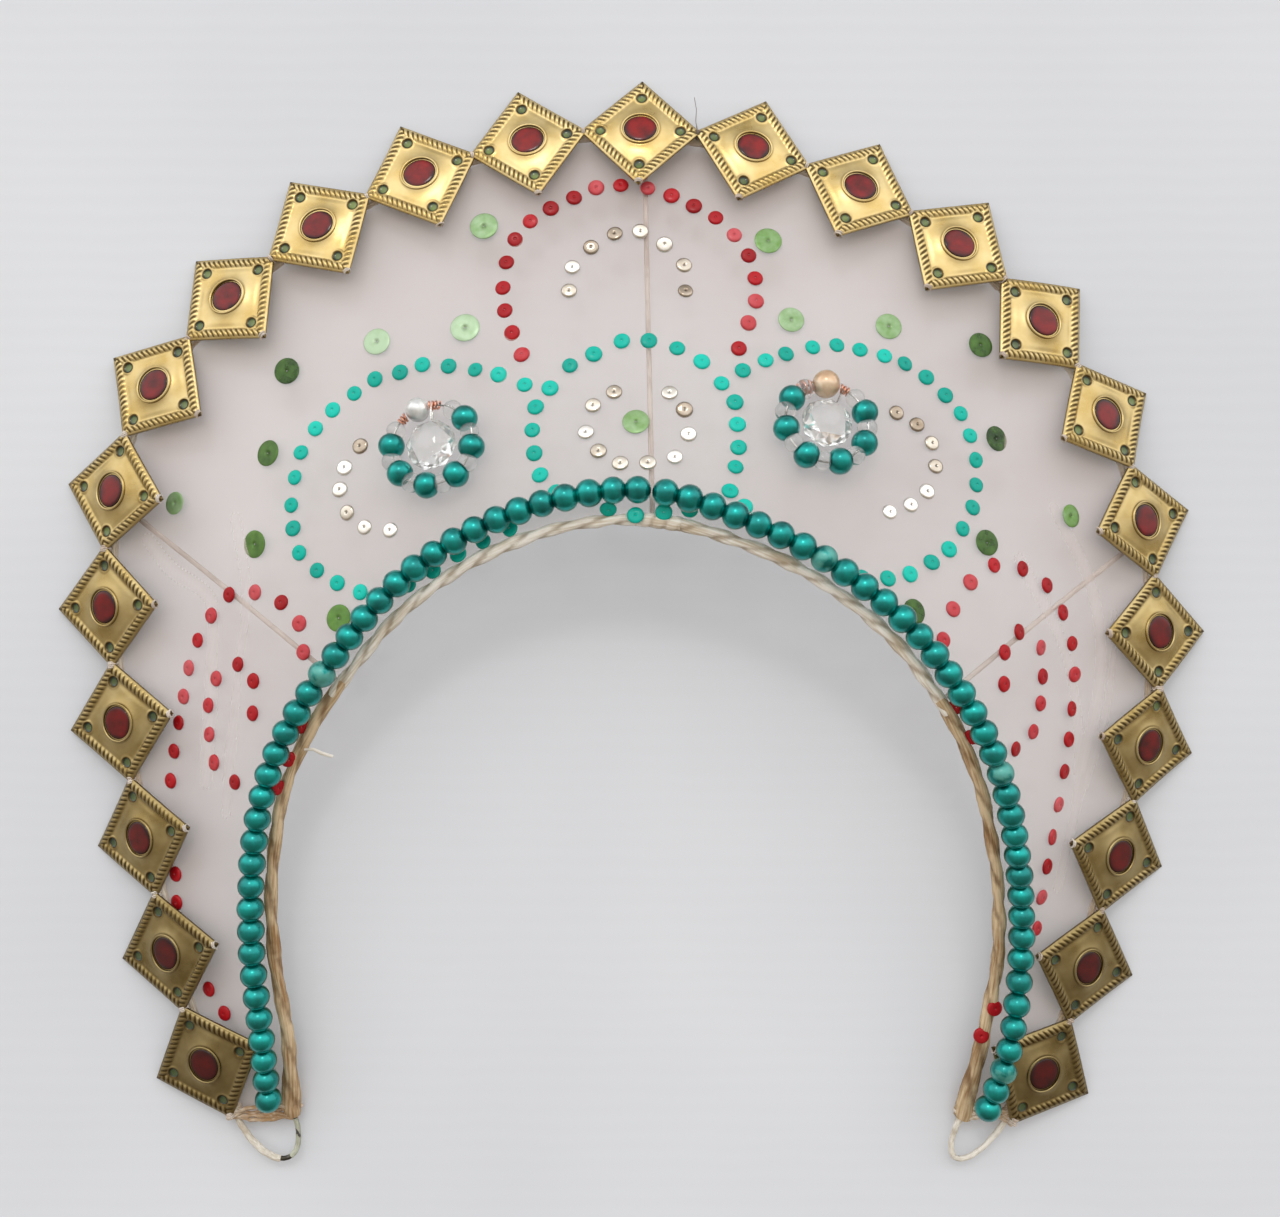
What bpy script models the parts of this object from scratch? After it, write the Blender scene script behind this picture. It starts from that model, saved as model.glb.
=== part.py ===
import math

import bpy
import numpy as np

# Overall sizes, in metres
RIM_WIDTH = 0.2425
RIM_HEIGHT = 0.2316
INNER_RISE = 0.0320
GAP = 0.0003

# The bent wire and its tape
WIRE_RADIUS = 0.00075
TAPE_RADIUS = 0.0017
TAPE_CLEARANCE = 0.0004
LOOP_DEPTH = 0.0122
OUTER_STEP = 0.0135
INNER_STEP = 0.0105
LOOP_STEPS = 8
WIRE_SIDES = 6

# The stretched sheet and the wires under it
SHEET_WALL = 0.0010
SHEET_SAG = 0.0024
SHEET_SAG_WIDTH = 0.094
SHEET_ABOVE_WIRE = 0.0006
SHEET_EDGE_GAP = 0.0008
SHEET_ROWS = 40
SHEET_SPANS = 3
SPOKE_RADIUS = 0.0006
SPOKE_STEPS = 5
SPOKE_SIDES = 6

# The plaques along the outer wire
PLAQUE_COUNT = 23
PLAQUE_ALONG = 0.0258
PLAQUE_ACROSS = 0.0278
PLAQUE_WALL = 0.0007
PLAQUE_BORDER = 0.0022
PLAQUE_BORDER_HEIGHT = 0.0004
PLAQUE_STEP = 0.0004
PLAQUE_SPACING_SHARE = 0.7
PLAQUE_LIFT = 0.0005
COLLAR_ALONG = 0.0094
COLLAR_ACROSS = 0.0086
COLLAR_HEIGHT = 0.0010
COLLAR_WALL = 0.0005
STONE_ALONG = 0.0077
STONE_ACROSS = 0.0069
STONE_BEVEL = 0.0006
STONE_HEIGHT = 0.0007
STONE_SIDES = 12

# The two bead strings along the inner wire
BEAD_RADIUS = 0.0030
BEAD_PITCH = 0.00524
BEAD_WAIST = 0.0010
BEAD_LIFT = 0.0006
BEAD_SIDES = 10
STRING_GAP = 0.0004
STRING_END = 0.0015

# The two rosettes
RING_RADIUS = 0.0094
RING_LIFT = 0.0004
CLEAR_BEAD_RADIUS = 0.0020
RING_WAIST = 0.0013
COIL_RADIUS = 0.0010
COIL_LENGTH = 0.0025
PEARL_SIDES = 12
CRYSTAL_RADIUS = 0.0058
CRYSTAL_SIDES = 10
RING_BEADS = 6

# One row for each section across the crescent, from the left end to the right
# end. Along counts plaques. Side is a share of the rim width, up a share of
# the rim height and rise a share of the inner rise. Tilt is in degrees, and
# bead out and bead up are in bead radii.
SECTION_COLUMNS = (
    "along",
    "outer_side",
    "outer_up",
    "outer_rise",
    "inner_side",
    "inner_up",
    "inner_rise",
    "tilt",
    "bead_out",
    "bead_up",
)
SECTIONS = (
    (0.0, -0.384, 0.004, 0.075, -0.328, 0.006, 0.075, 17.0, 1.20, 0.0),
    (1.0, -0.426, 0.117, 0.106, -0.327, 0.092, 0.266, 20.0, 1.10, 0.2),
    (2.0, -0.452, 0.232, 0.131, -0.336, 0.185, 0.390, 24.0, 0.80, 0.0),
    (4.0, -0.496, 0.464, 0.098, -0.316, 0.351, 0.562, 20.5, 0.75, 0.0),
    (6.0, -0.481, 0.694, 0.110, -0.237, 0.479, 0.720, 22.0, 1.00, 0.0),
    (8.0, -0.339, 0.870, 0.081, -0.155, 0.552, 0.812, 15.0, 1.40, 0.0),
    (10.0, -0.146, 0.974, 0.075, -0.055, 0.593, 0.920, 14.0, 1.50, 0.0),
    (11.5, 0.014, 0.997, 0.080, 0.021, 0.598, 0.970, 18.0, 1.60, 0.0),
    (13.0, 0.174, 0.959, 0.080, 0.094, 0.579, 1.000, 18.0, 1.10, 0.0),
    (15.0, 0.360, 0.842, 0.092, 0.182, 0.533, 1.000, 20.0, 0.80, 0.0),
    (17.0, 0.479, 0.655, 0.112, 0.257, 0.460, 0.970, 22.5, 0.80, 0.0),
    (19.0, 0.503, 0.436, 0.115, 0.320, 0.344, 0.734, 23.5, 0.90, 0.0),
    (21.0, 0.450, 0.213, 0.103, 0.350, 0.171, 0.310, 21.0, 0.95, 0.0),
    (22.0, 0.420, 0.100, 0.095, 0.338, 0.084, 0.220, 19.0, 0.80, 0.9),
    (23.0, 0.368, 0.000, 0.075, 0.324, 0.003, 0.075, 17.0, 0.70, 0.4),
)

# Each spoke runs from a place along the outer wire to one along the inner wire
SPOKE_COLUMNS = ("name", "outer_along", "inner_along")
SPOKES = (
    ("spoke_left", 5.35, 5.35),
    ("spoke_centre", 11.50, 11.50),
    ("spoke_right", 17.65, 17.65),
)

# Turns are degrees anticlockwise from the right, seen from above
ROSETTE_COLUMNS = ("name", "side", "up", "pearl_turn", "first_turn", "bead_step", "pearl_radius")
ROSETTES = (
    ("left", -0.178, 0.669, 116.0, 40.0, -44.0, 0.00275),
    ("right", 0.178, 0.686, 86.0, 17.0, -47.0, 0.00320),
)


# Shared helpers


def clear_scene():
    for old in list(bpy.data.objects):
        bpy.data.objects.remove(old, do_unlink=True)


def plain_material(name, colour, roughness, metallic):
    material = bpy.data.materials.new(name)
    material.use_nodes = True
    shader = material.node_tree.nodes["Principled BSDF"]
    shader.inputs["Base Color"].default_value = (*colour, 1.0)
    shader.inputs["Roughness"].default_value = roughness
    shader.inputs["Metallic"].default_value = metallic
    return material


def new_node(name, points, faces, material):
    mesh = bpy.data.meshes.new(name)
    mesh.from_pydata([tuple(map(float, point)) for point in points], [], faces)
    mesh.validate()
    mesh.update()
    mesh.materials.append(material)
    node = bpy.data.objects.new(name, mesh)
    bpy.context.scene.collection.objects.link(node)
    return node


def unit(vectors):
    return vectors / np.linalg.norm(vectors, axis=-1, keepdims=True)


def through(knots, values, at):
    """A smooth curve through the rows of a table."""
    slopes = np.gradient(values, knots)
    index = np.clip(np.searchsorted(knots, at, side="right") - 1, 0, len(knots) - 2)
    span = knots[index + 1] - knots[index]
    t = (at - knots[index]) / span
    start = (1 + 2 * t) * (1 - t) ** 2 * values[index]
    start = start + t * (1 - t) ** 2 * span * slopes[index]
    end = t * t * (3 - 2 * t) * values[index + 1]
    return start + end + t * t * (t - 1) * span * slopes[index + 1]


def column(name, at):
    place = SECTION_COLUMNS.index(name)
    knots = np.array([row[0] for row in SECTIONS])
    values = np.array([row[place] for row in SECTIONS])
    return through(knots, values, np.asarray(at, float))


def rim_point(rim, at):
    side = column(rim + "_side", at) * RIM_WIDTH
    up = (column(rim + "_up", at) - 0.5) * RIM_HEIGHT
    rise = column(rim + "_rise", at) * INNER_RISE
    return np.stack([side, up, rise], axis=-1)


def lengths_of(path):
    steps = np.linalg.norm(np.diff(path, axis=0), axis=1)
    return np.concatenate([[0.0], np.cumsum(steps)])


def points_along(path, at):
    lengths = lengths_of(path)
    return np.stack([np.interp(at, lengths, path[:, i]) for i in range(3)], axis=-1)


def spaced(path, step):
    length = lengths_of(path)[-1]
    count = max(1, round(length / step))
    return points_along(path, np.linspace(0.0, length, count + 1))


def ring_frames(path, closed):
    if closed:
        tangents = np.roll(path, -1, axis=0) - np.roll(path, 1, axis=0)
    else:
        tangents = np.gradient(path, axis=0)
    tangents = unit(tangents)
    sideways = unit(np.cross((0.0, 0.0, 1.0), tangents))
    upward = np.cross(tangents, sideways)
    return sideways, upward


def rings_round(path, radii, sides, closed=False):
    sideways, upward = ring_frames(path, closed)
    angles = (np.arange(sides) + 0.5) * 2 * math.pi / sides + math.pi / 2
    circle = np.stack([np.cos(angles), np.sin(angles)], axis=-1)
    radii = np.broadcast_to(np.asarray(radii, float), (len(path),))
    rings = path[:, None, :]
    rings = rings + radii[:, None, None] * circle[None, :, 0, None] * sideways[:, None, :]
    rings = rings + radii[:, None, None] * circle[None, :, 1, None] * upward[:, None, :]
    return rings


def skin_between(first, second, sides):
    faces = []
    for i in range(sides):
        j = (i + 1) % sides
        faces.append((first + i, first + j, second + j, second + i))
    return faces


def tube(name, path, radii, sides, material, closed=False):
    rings = rings_round(path, radii, sides, closed)
    count = len(rings)
    faces = []
    for k in range(count if closed else count - 1):
        faces += skin_between(k * sides, ((k + 1) % count) * sides, sides)
    if not closed:
        faces.append(tuple(reversed(range(sides))))
        faces.append(tuple(range((count - 1) * sides, count * sides)))
    return new_node(name, rings.reshape(-1, 3), faces, material)


def sleeve(name, path, outer, inner, sides, material):
    outside = rings_round(path, outer, sides).reshape(-1, 3)
    inside = rings_round(path, inner, sides).reshape(-1, 3)
    points = np.concatenate([outside, inside])
    count = len(path)
    shift = count * sides
    faces = []
    for k in range(count - 1):
        faces += skin_between(k * sides, (k + 1) * sides, sides)
        faces += skin_between(shift + (k + 1) * sides, shift + k * sides, sides)
    last = (count - 1) * sides
    faces += skin_between(shift, 0, sides)
    faces += skin_between(last, shift + last, sides)
    return new_node(name, points, faces, material)


def turned_solid(points, sizes, material, name, node_sides):
    """Rings of the same count, one above another, with both ends capped."""
    faces = []
    for k in range(len(sizes) - 1):
        faces += skin_between(k * node_sides, (k + 1) * node_sides, node_sides)
    faces.append(tuple(reversed(range(node_sides))))
    last = (len(sizes) - 1) * node_sides
    faces.append(tuple(range(last, last + node_sides)))
    return new_node(name, points, faces, material)


# The shape of the stretched sheet


def sheet_point(along, across):
    """Across runs from 0 at the outer wire to 1 at the inner wire."""
    along, across = np.broadcast_arrays(np.asarray(along, float), np.asarray(across, float))
    outer = rim_point("outer", along)
    inner = rim_point("inner", along)
    width = np.linalg.norm((inner - outer)[..., :2], axis=-1)
    sag = 4 * SHEET_SAG * across * (1 - across) * width / SHEET_SAG_WIDTH
    points = outer + across[..., None] * (inner - outer)
    points[..., 2] += SHEET_ABOVE_WIRE - sag
    return points


def sheet_normal(along, across):
    step = 0.02
    ahead = sheet_point(along + 5 * step, across) - sheet_point(along - 5 * step, across)
    inward = sheet_point(along, across + step) - sheet_point(along, across - step)
    normal = unit(np.cross(inward, ahead))
    return normal * np.sign(normal[..., 2:3])


def sheet_width(along):
    outer = rim_point("outer", along)
    inner = rim_point("inner", along)
    return np.linalg.norm(inner - outer, axis=-1)


def place_on_sheet(side, up):
    along = np.linspace(0.5, PLAQUE_COUNT - 0.5, 441)[:, None]
    across = np.linspace(0.05, 0.95, 91)[None, :]
    points = sheet_point(along, across)
    target = np.array([side * RIM_WIDTH, (up - 0.5) * RIM_HEIGHT])
    away = np.linalg.norm(points[..., :2] - target, axis=-1)
    i, j = np.unravel_index(np.argmin(away), away.shape)
    return points[i, j], sheet_normal(along[i, 0], across[0, j])


# The closed ring of wire with an eye at each end


def dense_rim(rim):
    return rim_point(rim, np.linspace(0.0, PLAQUE_COUNT, 461))


def loop_path(start, end, onward):
    centre = (start + end) / 2
    half = (start - end) / 2
    onward = onward - np.array([0.0, 0.0, onward[2]])
    depth = unit(onward) * LOOP_DEPTH
    turns = np.linspace(0.0, math.pi, LOOP_STEPS + 1)[1:-1, None]
    return centre + half * np.cos(turns) + depth * np.sin(turns)


def wire_path():
    outer = spaced(dense_rim("outer"), OUTER_STEP)
    inner = spaced(dense_rim("inner"), INNER_STEP)
    right = loop_path(outer[-1], inner[-1], outer[-1] - outer[-2])
    left = loop_path(inner[0], outer[0], outer[0] - outer[1])
    return np.concatenate([outer, right, inner[::-1], left])


def build_wire_frame(material):
    return tube("wire_frame", wire_path(), WIRE_RADIUS, WIRE_SIDES, material, closed=True)


def build_inner_binding(material):
    path = spaced(dense_rim("inner"), INNER_STEP)
    return sleeve("inner_binding", path, TAPE_RADIUS, WIRE_RADIUS + TAPE_CLEARANCE, WIRE_SIDES, material)


# The sheet is one wall between the two wires


def build_membrane(material):
    along = np.linspace(0.0, PLAQUE_COUNT, SHEET_ROWS + 1)
    width = sheet_width(along)
    start = (WIRE_RADIUS + SHEET_EDGE_GAP) / width
    end = 1 - (TAPE_RADIUS + SHEET_EDGE_GAP) / width
    share = np.linspace(0.0, 1.0, SHEET_SPANS + 1)
    across = start[:, None] + (end - start)[:, None] * share[None, :]
    middle = sheet_point(along[:, None], across)
    normal = sheet_normal(along[:, None] + 0 * across, across)
    top = (middle + normal * SHEET_WALL / 2).reshape(-1, 3)
    bottom = (middle - normal * SHEET_WALL / 2).reshape(-1, 3)
    columns = SHEET_SPANS + 1
    shift = len(top)
    faces = []
    for i in range(SHEET_ROWS):
        for j in range(SHEET_SPANS):
            a = i * columns + j
            b = a + columns
            faces.append((a, a + 1, b + 1, b))
            faces.append((shift + a, shift + b, shift + b + 1, shift + a + 1))
        a = i * columns
        b = a + columns
        faces.append((a, b, shift + b, shift + a))
        a += SHEET_SPANS
        b += SHEET_SPANS
        faces.append((a, shift + a, shift + b, b))
    last = SHEET_ROWS * columns
    for j in range(SHEET_SPANS):
        faces.append((j, shift + j, shift + j + 1, j + 1))
        faces.append((last + j, last + j + 1, shift + last + j + 1, shift + last + j))
    return new_node("membrane", np.concatenate([top, bottom]), faces, material)


def build_spoke(row, material):
    spoke = dict(zip(SPOKE_COLUMNS, row))
    along = np.linspace(spoke["outer_along"], spoke["inner_along"], SPOKE_STEPS + 1)
    width = sheet_width(along)
    start = (WIRE_RADIUS + SPOKE_RADIUS + GAP) / width[0]
    end = 1 - (TAPE_RADIUS + SPOKE_RADIUS + GAP) / width[-1]
    across = np.linspace(start, end, SPOKE_STEPS + 1)
    under = SHEET_WALL / 2 + GAP + SPOKE_RADIUS
    path = sheet_point(along, across) - under * sheet_normal(along, across)
    return tube(spoke["name"], path, SPOKE_RADIUS, SPOKE_SIDES, material)


# The square plaques stand corner to corner along the outer wire


def joint_points():
    """Part way between evenly spaced stitches and those of the table."""
    rim = dense_rim("outer")
    even = np.linspace(0.0, lengths_of(rim)[-1], PLAQUE_COUNT + 1)
    charted = lengths_of(rim)[:: (len(rim) - 1) // PLAQUE_COUNT]
    return points_along(rim, even + PLAQUE_SPACING_SHARE * (charted - even))


def diamond(scale, height):
    along = PLAQUE_ALONG / 2 * scale
    across = PLAQUE_ACROSS / 2 * scale
    return [(along, 0, height), (0, across, height), (-along, 0, height), (0, -across, height)]


def oval(along, across, height):
    points = []
    for k in range(STONE_SIDES):
        turn = 2 * math.pi * k / STONE_SIDES
        points.append((along / 2 * math.cos(turn), across / 2 * math.sin(turn), height))
    return points


def plaque_shape():
    half = math.hypot(PLAQUE_ALONG, PLAQUE_ACROSS) / 2
    inside = PLAQUE_ALONG * PLAQUE_ACROSS / 4 / half
    border = 1 - PLAQUE_BORDER / inside
    field = border - PLAQUE_STEP / 2 / inside
    base = -PLAQUE_WALL / 2
    top = PLAQUE_WALL / 2
    ridge = top + COLLAR_HEIGHT
    points = diamond(1.0, base)
    points += diamond(1.0, top + PLAQUE_BORDER_HEIGHT)
    points += diamond(border, top + PLAQUE_BORDER_HEIGHT)
    points += diamond(field, top)
    points += oval(COLLAR_ALONG, COLLAR_ACROSS, top)
    points += oval(COLLAR_ALONG - COLLAR_WALL, COLLAR_ACROSS - COLLAR_WALL, ridge)
    points += oval(STONE_ALONG, STONE_ACROSS, ridge - STONE_BEVEL)
    table_along = STONE_ALONG - 2 * STONE_BEVEL
    table_across = STONE_ACROSS - 2 * STONE_BEVEL
    points += oval(table_along, table_across, top + STONE_HEIGHT + STONE_BEVEL / 4)
    faces = [(3, 2, 1, 0)]
    faces += skin_between(0, 4, 4)
    faces += skin_between(4, 8, 4)
    faces += skin_between(8, 12, 4)
    quarter = STONE_SIDES // 4
    for k in range(4):
        corner = 12 + k
        following = 12 + (k + 1) % 4
        for step in range(quarter):
            a = 16 + (k * quarter + step) % STONE_SIDES
            b = 16 + (k * quarter + step + 1) % STONE_SIDES
            faces.append((corner if step <= quarter // 2 else following, b, a))
            if step == quarter // 2:
                faces.append((corner, following, b))
    for ring in range(3):
        first = 16 + ring * STONE_SIDES
        faces += skin_between(first, first + STONE_SIDES, STONE_SIDES)
    last = 16 + 3 * STONE_SIDES
    faces.append(tuple(range(last, last + STONE_SIDES)))
    return np.array(points), faces


def plaque_frame(start, end, along):
    tilt = math.radians(column("tilt", along))
    ahead = unit(end - start)
    level = unit(np.array([-ahead[1], ahead[0], 0.0]))
    outward = math.cos(tilt) * level - math.sin(tilt) * np.array([0.0, 0.0, 1.0])
    outward = unit(outward - ahead * outward.dot(ahead))
    return ahead, outward, np.cross(ahead, outward)


def build_plaque(number, start, end, material):
    points, faces = plaque_shape()
    ahead, outward, facing = plaque_frame(start, end, number - 0.5)
    lift = PLAQUE_WALL / 2 + GAP + WIRE_RADIUS + PLAQUE_LIFT
    centre = (start + end) / 2 + facing * lift
    placed = centre + points @ np.array([ahead, outward, facing])
    return new_node(f"plaque_{number:02d}", placed, faces, material)


# The strings of pearl beads lie on the sheet, just outside the taped wire


def bead_line(along):
    out = column("bead_out", along) * BEAD_RADIUS
    across = 1 - out / sheet_width(along)
    lift = SHEET_WALL / 2 + GAP + BEAD_LIFT + BEAD_RADIUS * (1 + column("bead_up", along))
    return sheet_point(along, across) + lift[..., None] * sheet_normal(along, across)


def build_bead_string(name, start, end, material):
    path = bead_line(np.linspace(start, end, 400))
    length = lengths_of(path)[-1]
    count = int((length - STRING_GAP - STRING_END) / BEAD_PITCH)
    at = [STRING_GAP]
    radii = [BEAD_WAIST]
    for k in range(count):
        middle = STRING_GAP + (k + 0.5) * BEAD_PITCH
        for share, radius in ((-0.24, BEAD_RADIUS), (0.24, BEAD_RADIUS), (0.5, BEAD_WAIST)):
            at.append(middle + share * BEAD_PITCH)
            radii.append(radius)
    return tube(name, points_along(path, at), radii, BEAD_SIDES, material)


# Each rosette is a wired ring of beads round a crystal


def rosette_frame(rosette):
    centre, normal = place_on_sheet(rosette["side"], rosette["up"])
    across = unit(np.cross((0.0, 1.0, 0.0), normal))
    upward = np.cross(normal, across)
    lift = SHEET_WALL / 2 + GAP + RING_LIFT + BEAD_RADIUS
    return centre + normal * lift, across, upward, normal


def ring_stations(rosette):
    """Places round the ring, in degrees, each with its radius."""
    per_degree = math.radians(RING_RADIUS)
    away = (rosette["pearl_radius"] + GAP) / per_degree
    stations = []

    def bead(turn, radius):
        if radius == BEAD_RADIUS:
            step = 0.45 * radius / per_degree
            stations.append((turn + step, radius * 0.95))
            stations.append((turn - step, radius * 0.95))
        else:
            stations.append((turn, radius))

    first = rosette["pearl_turn"] - away
    stations.append((first, COIL_RADIUS))
    stations.append((first - COIL_LENGTH / per_degree, COIL_RADIUS))
    clear = rosette["first_turn"] - rosette["bead_step"] * 0.5
    bead(clear, CLEAR_BEAD_RADIUS)
    for k in range(RING_BEADS):
        turn = rosette["first_turn"] + k * rosette["bead_step"]
        stations.append((turn - rosette["bead_step"] * 0.29, RING_WAIST))
        bead(turn, BEAD_RADIUS)
        stations.append((turn + rosette["bead_step"] * 0.29, RING_WAIST))
        bead(turn + rosette["bead_step"] * 0.5, CLEAR_BEAD_RADIUS)
    last = rosette["pearl_turn"] - 360 + away
    stations.append((last + COIL_LENGTH / per_degree, COIL_RADIUS))
    stations.append((last, COIL_RADIUS))
    return stations


def build_ring(rosette, material):
    centre, across, upward, normal = rosette_frame(rosette)
    points = []
    for turn, radius in ring_stations(rosette):
        turn = math.radians(turn)
        spoke = across * math.cos(turn) + upward * math.sin(turn)
        for k in range(BEAD_SIDES):
            angle = 2 * math.pi * k / BEAD_SIDES
            offset = spoke * math.cos(angle) + normal * math.sin(angle)
            points.append(centre + spoke * RING_RADIUS + offset * radius)
    count = len(points) // BEAD_SIDES
    faces = []
    for k in range(count - 1):
        faces += skin_between(k * BEAD_SIDES, (k + 1) * BEAD_SIDES, BEAD_SIDES)
    faces.append(tuple(reversed(range(BEAD_SIDES))))
    faces.append(tuple(range((count - 1) * BEAD_SIDES, count * BEAD_SIDES)))
    return new_node(rosette["name"] + "_rosette_ring", points, faces, material)


def build_pearl(rosette, material):
    centre, across, upward, normal = rosette_frame(rosette)
    turn = math.radians(rosette["pearl_turn"])
    spoke = across * math.cos(turn) + upward * math.sin(turn)
    radius = rosette["pearl_radius"]
    middle = centre + spoke * RING_RADIUS + normal * (radius - BEAD_RADIUS)
    points = []
    rings = 5
    for k in range(rings):
        rise = -1 + (2 * k + 1) / rings
        wide = math.sqrt(1 - rise * rise)
        for i in range(PEARL_SIDES):
            angle = 2 * math.pi * i / PEARL_SIDES
            offset = across * math.cos(angle) * wide + upward * math.sin(angle) * wide
            points.append(middle + radius * (offset + normal * rise))
    name = rosette["name"] + "_rosette_pearl"
    return turned_solid(points, range(rings), material, name, PEARL_SIDES)


def build_crystal(rosette, material):
    centre, across, upward, normal = rosette_frame(rosette)
    profile = (
        (-0.50, 0.40, 0.0),
        (-0.34, 0.74, 0.5),
        (-0.08, 1.00, 0.0),
        (0.10, 1.00, 0.0),
        (0.42, 0.80, 0.5),
        (0.62, 0.50, 0.0),
    )
    points = []
    for rise, wide, twist in profile:
        for i in range(CRYSTAL_SIDES):
            angle = 2 * math.pi * (i + twist) / CRYSTAL_SIDES
            offset = across * math.cos(angle) * wide + upward * math.sin(angle) * wide
            points.append(centre + CRYSTAL_RADIUS * (offset + normal * rise))
    name = rosette["name"] + "_rosette_crystal"
    return turned_solid(points, profile, material, name, CRYSTAL_SIDES)


# Colours of the pieces


def steel_wire_material(name):
    return plain_material(name, (0.42, 0.40, 0.36), 0.45, 1.0)


def tape_material(name):
    return plain_material(name, (0.62, 0.52, 0.38), 0.9, 0.0)


def sheer_material(name):
    return plain_material(name, (0.72, 0.66, 0.63), 0.8, 0.0)


def brass_material(name):
    return plain_material(name, (0.62, 0.47, 0.18), 0.35, 1.0)


def teal_pearl_material(name):
    return plain_material(name, (0.0, 0.22, 0.17), 0.25, 0.0)


def white_pearl_material(name):
    return plain_material(name, (0.85, 0.82, 0.78), 0.25, 0.0)


def cream_pearl_material(name):
    return plain_material(name, (0.74, 0.56, 0.38), 0.25, 0.0)


def crystal_material(name):
    return plain_material(name, (0.88, 0.89, 0.90), 0.08, 0.0)


def settle_on_ground(nodes):
    """The middle of the footprint is the origin, and the lowest corner is at height zero."""
    everything = np.array([tuple(v.co) for node in nodes for v in node.data.vertices])
    low = everything.min(axis=0)
    high = everything.max(axis=0)
    shift = np.array([(low[0] + high[0]) / 2, (low[1] + high[1]) / 2, low[2]])
    for node in nodes:
        for vertex in node.data.vertices:
            vertex.co = tuple(np.array(vertex.co) - shift)


def main():
    clear_scene()
    bpy.context.scene.unit_settings.system = "METRIC"
    nodes = [build_wire_frame(steel_wire_material("wire_frame"))]
    nodes.append(build_inner_binding(tape_material("inner_binding")))
    nodes.append(build_membrane(sheer_material("membrane")))
    for row in SPOKES:
        nodes.append(build_spoke(row, steel_wire_material(row[0])))
    joints = joint_points()
    for number in range(1, PLAQUE_COUNT + 1):
        name = f"plaque_{number:02d}"
        nodes.append(build_plaque(number, joints[number - 1], joints[number], brass_material(name)))
    middle = PLAQUE_COUNT / 2
    for name, end in (("bead_string_left", 0.0), ("bead_string_right", PLAQUE_COUNT)):
        nodes.append(build_bead_string(name, middle, end, teal_pearl_material(name)))
    for row in ROSETTES:
        rosette = dict(zip(ROSETTE_COLUMNS, row))
        name = rosette["name"] + "_rosette_"
        nodes.append(build_ring(rosette, teal_pearl_material(name + "ring")))
        pearl = white_pearl_material if rosette["name"] == "left" else cream_pearl_material
        nodes.append(build_pearl(rosette, pearl(name + "pearl")))
        nodes.append(build_crystal(rosette, crystal_material(name + "crystal")))
    settle_on_ground(nodes)


main()
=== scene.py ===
import math

import bpy
import numpy as np
from mathutils import Matrix, Vector


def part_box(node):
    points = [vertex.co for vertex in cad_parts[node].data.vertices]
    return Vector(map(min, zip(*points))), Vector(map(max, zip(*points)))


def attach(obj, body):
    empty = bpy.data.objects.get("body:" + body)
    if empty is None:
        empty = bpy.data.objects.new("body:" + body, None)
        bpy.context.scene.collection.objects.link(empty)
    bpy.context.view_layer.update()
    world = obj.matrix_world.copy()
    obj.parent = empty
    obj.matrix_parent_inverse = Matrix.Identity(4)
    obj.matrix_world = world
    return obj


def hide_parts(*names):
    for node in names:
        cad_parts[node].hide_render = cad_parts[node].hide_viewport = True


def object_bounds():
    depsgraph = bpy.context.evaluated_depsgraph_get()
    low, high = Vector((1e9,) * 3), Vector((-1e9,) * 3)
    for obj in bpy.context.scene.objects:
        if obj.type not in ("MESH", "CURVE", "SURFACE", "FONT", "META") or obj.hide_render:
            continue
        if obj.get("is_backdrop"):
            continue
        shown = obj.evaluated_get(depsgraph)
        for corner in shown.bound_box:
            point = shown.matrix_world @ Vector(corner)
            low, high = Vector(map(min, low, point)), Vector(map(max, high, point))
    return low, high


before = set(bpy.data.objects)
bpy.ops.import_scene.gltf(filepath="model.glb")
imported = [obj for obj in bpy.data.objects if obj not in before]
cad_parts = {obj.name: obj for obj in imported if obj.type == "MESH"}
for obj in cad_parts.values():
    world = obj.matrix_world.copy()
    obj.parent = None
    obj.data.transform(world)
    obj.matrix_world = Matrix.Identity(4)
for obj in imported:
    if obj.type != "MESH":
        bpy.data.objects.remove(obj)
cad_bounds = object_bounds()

# The camera, which looks straight down at the headdress
# It stands where the photo's perspective puts it, a forearm's length above the
# cloth, and the headdress nearly fills its frame from side to side.
MM = 0.001
FRAME_PIXELS = 1280
FOCAL_PIXELS = 1400
SENSOR_MM = 36
CAMERA_PLACE = (1.9 * MM, 2.9 * MM, 333 * MM)
camera_data = bpy.data.cameras.new("camera")
camera_data.lens = SENSOR_MM * FOCAL_PIXELS / FRAME_PIXELS
camera_data.sensor_width = SENSOR_MM
camera_data.clip_start = 0.01
camera = bpy.data.objects.new("camera", camera_data)
camera.location = CAMERA_PLACE
bpy.context.scene.collection.objects.link(camera)
bpy.context.scene.camera = camera

# Daylight from a window above the arch, in a pale room
# The small bright window gives each pearl one highlight on its upper side. The bright
# upper side of the room gives the soft shadows, and the room behind the viewer is darker.
WINDOW_SIZE = (0.22, 0.16)
WINDOW_PLACE = (-0.10, 0.72, 0.98)
WINDOW_POWER = 1.15
ROOM_BRIGHTNESS = 1.94
ROOM_SHADES = (
    # the sides below and above the arch first, then overhead and on towards the window
    (0.0, "#5F574C"),
    (1.0, "#8F8F8F"),
    (0.50, "#A6A19A"),
    (0.61, "#DCDBD9"),
    (0.74, "#F4F4F4"),
    (0.86, "#F0F0F0"),
)


def linear(colour):
    """An sRGB hex colour as linear values with alpha."""
    channels = [int(colour[i : i + 2], 16) / 255 for i in (1, 3, 5)]
    values = [c / 12.92 if c <= 0.04045 else ((c + 0.055) / 1.055) ** 2.4 for c in channels]
    return (*values, 1.0)


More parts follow.
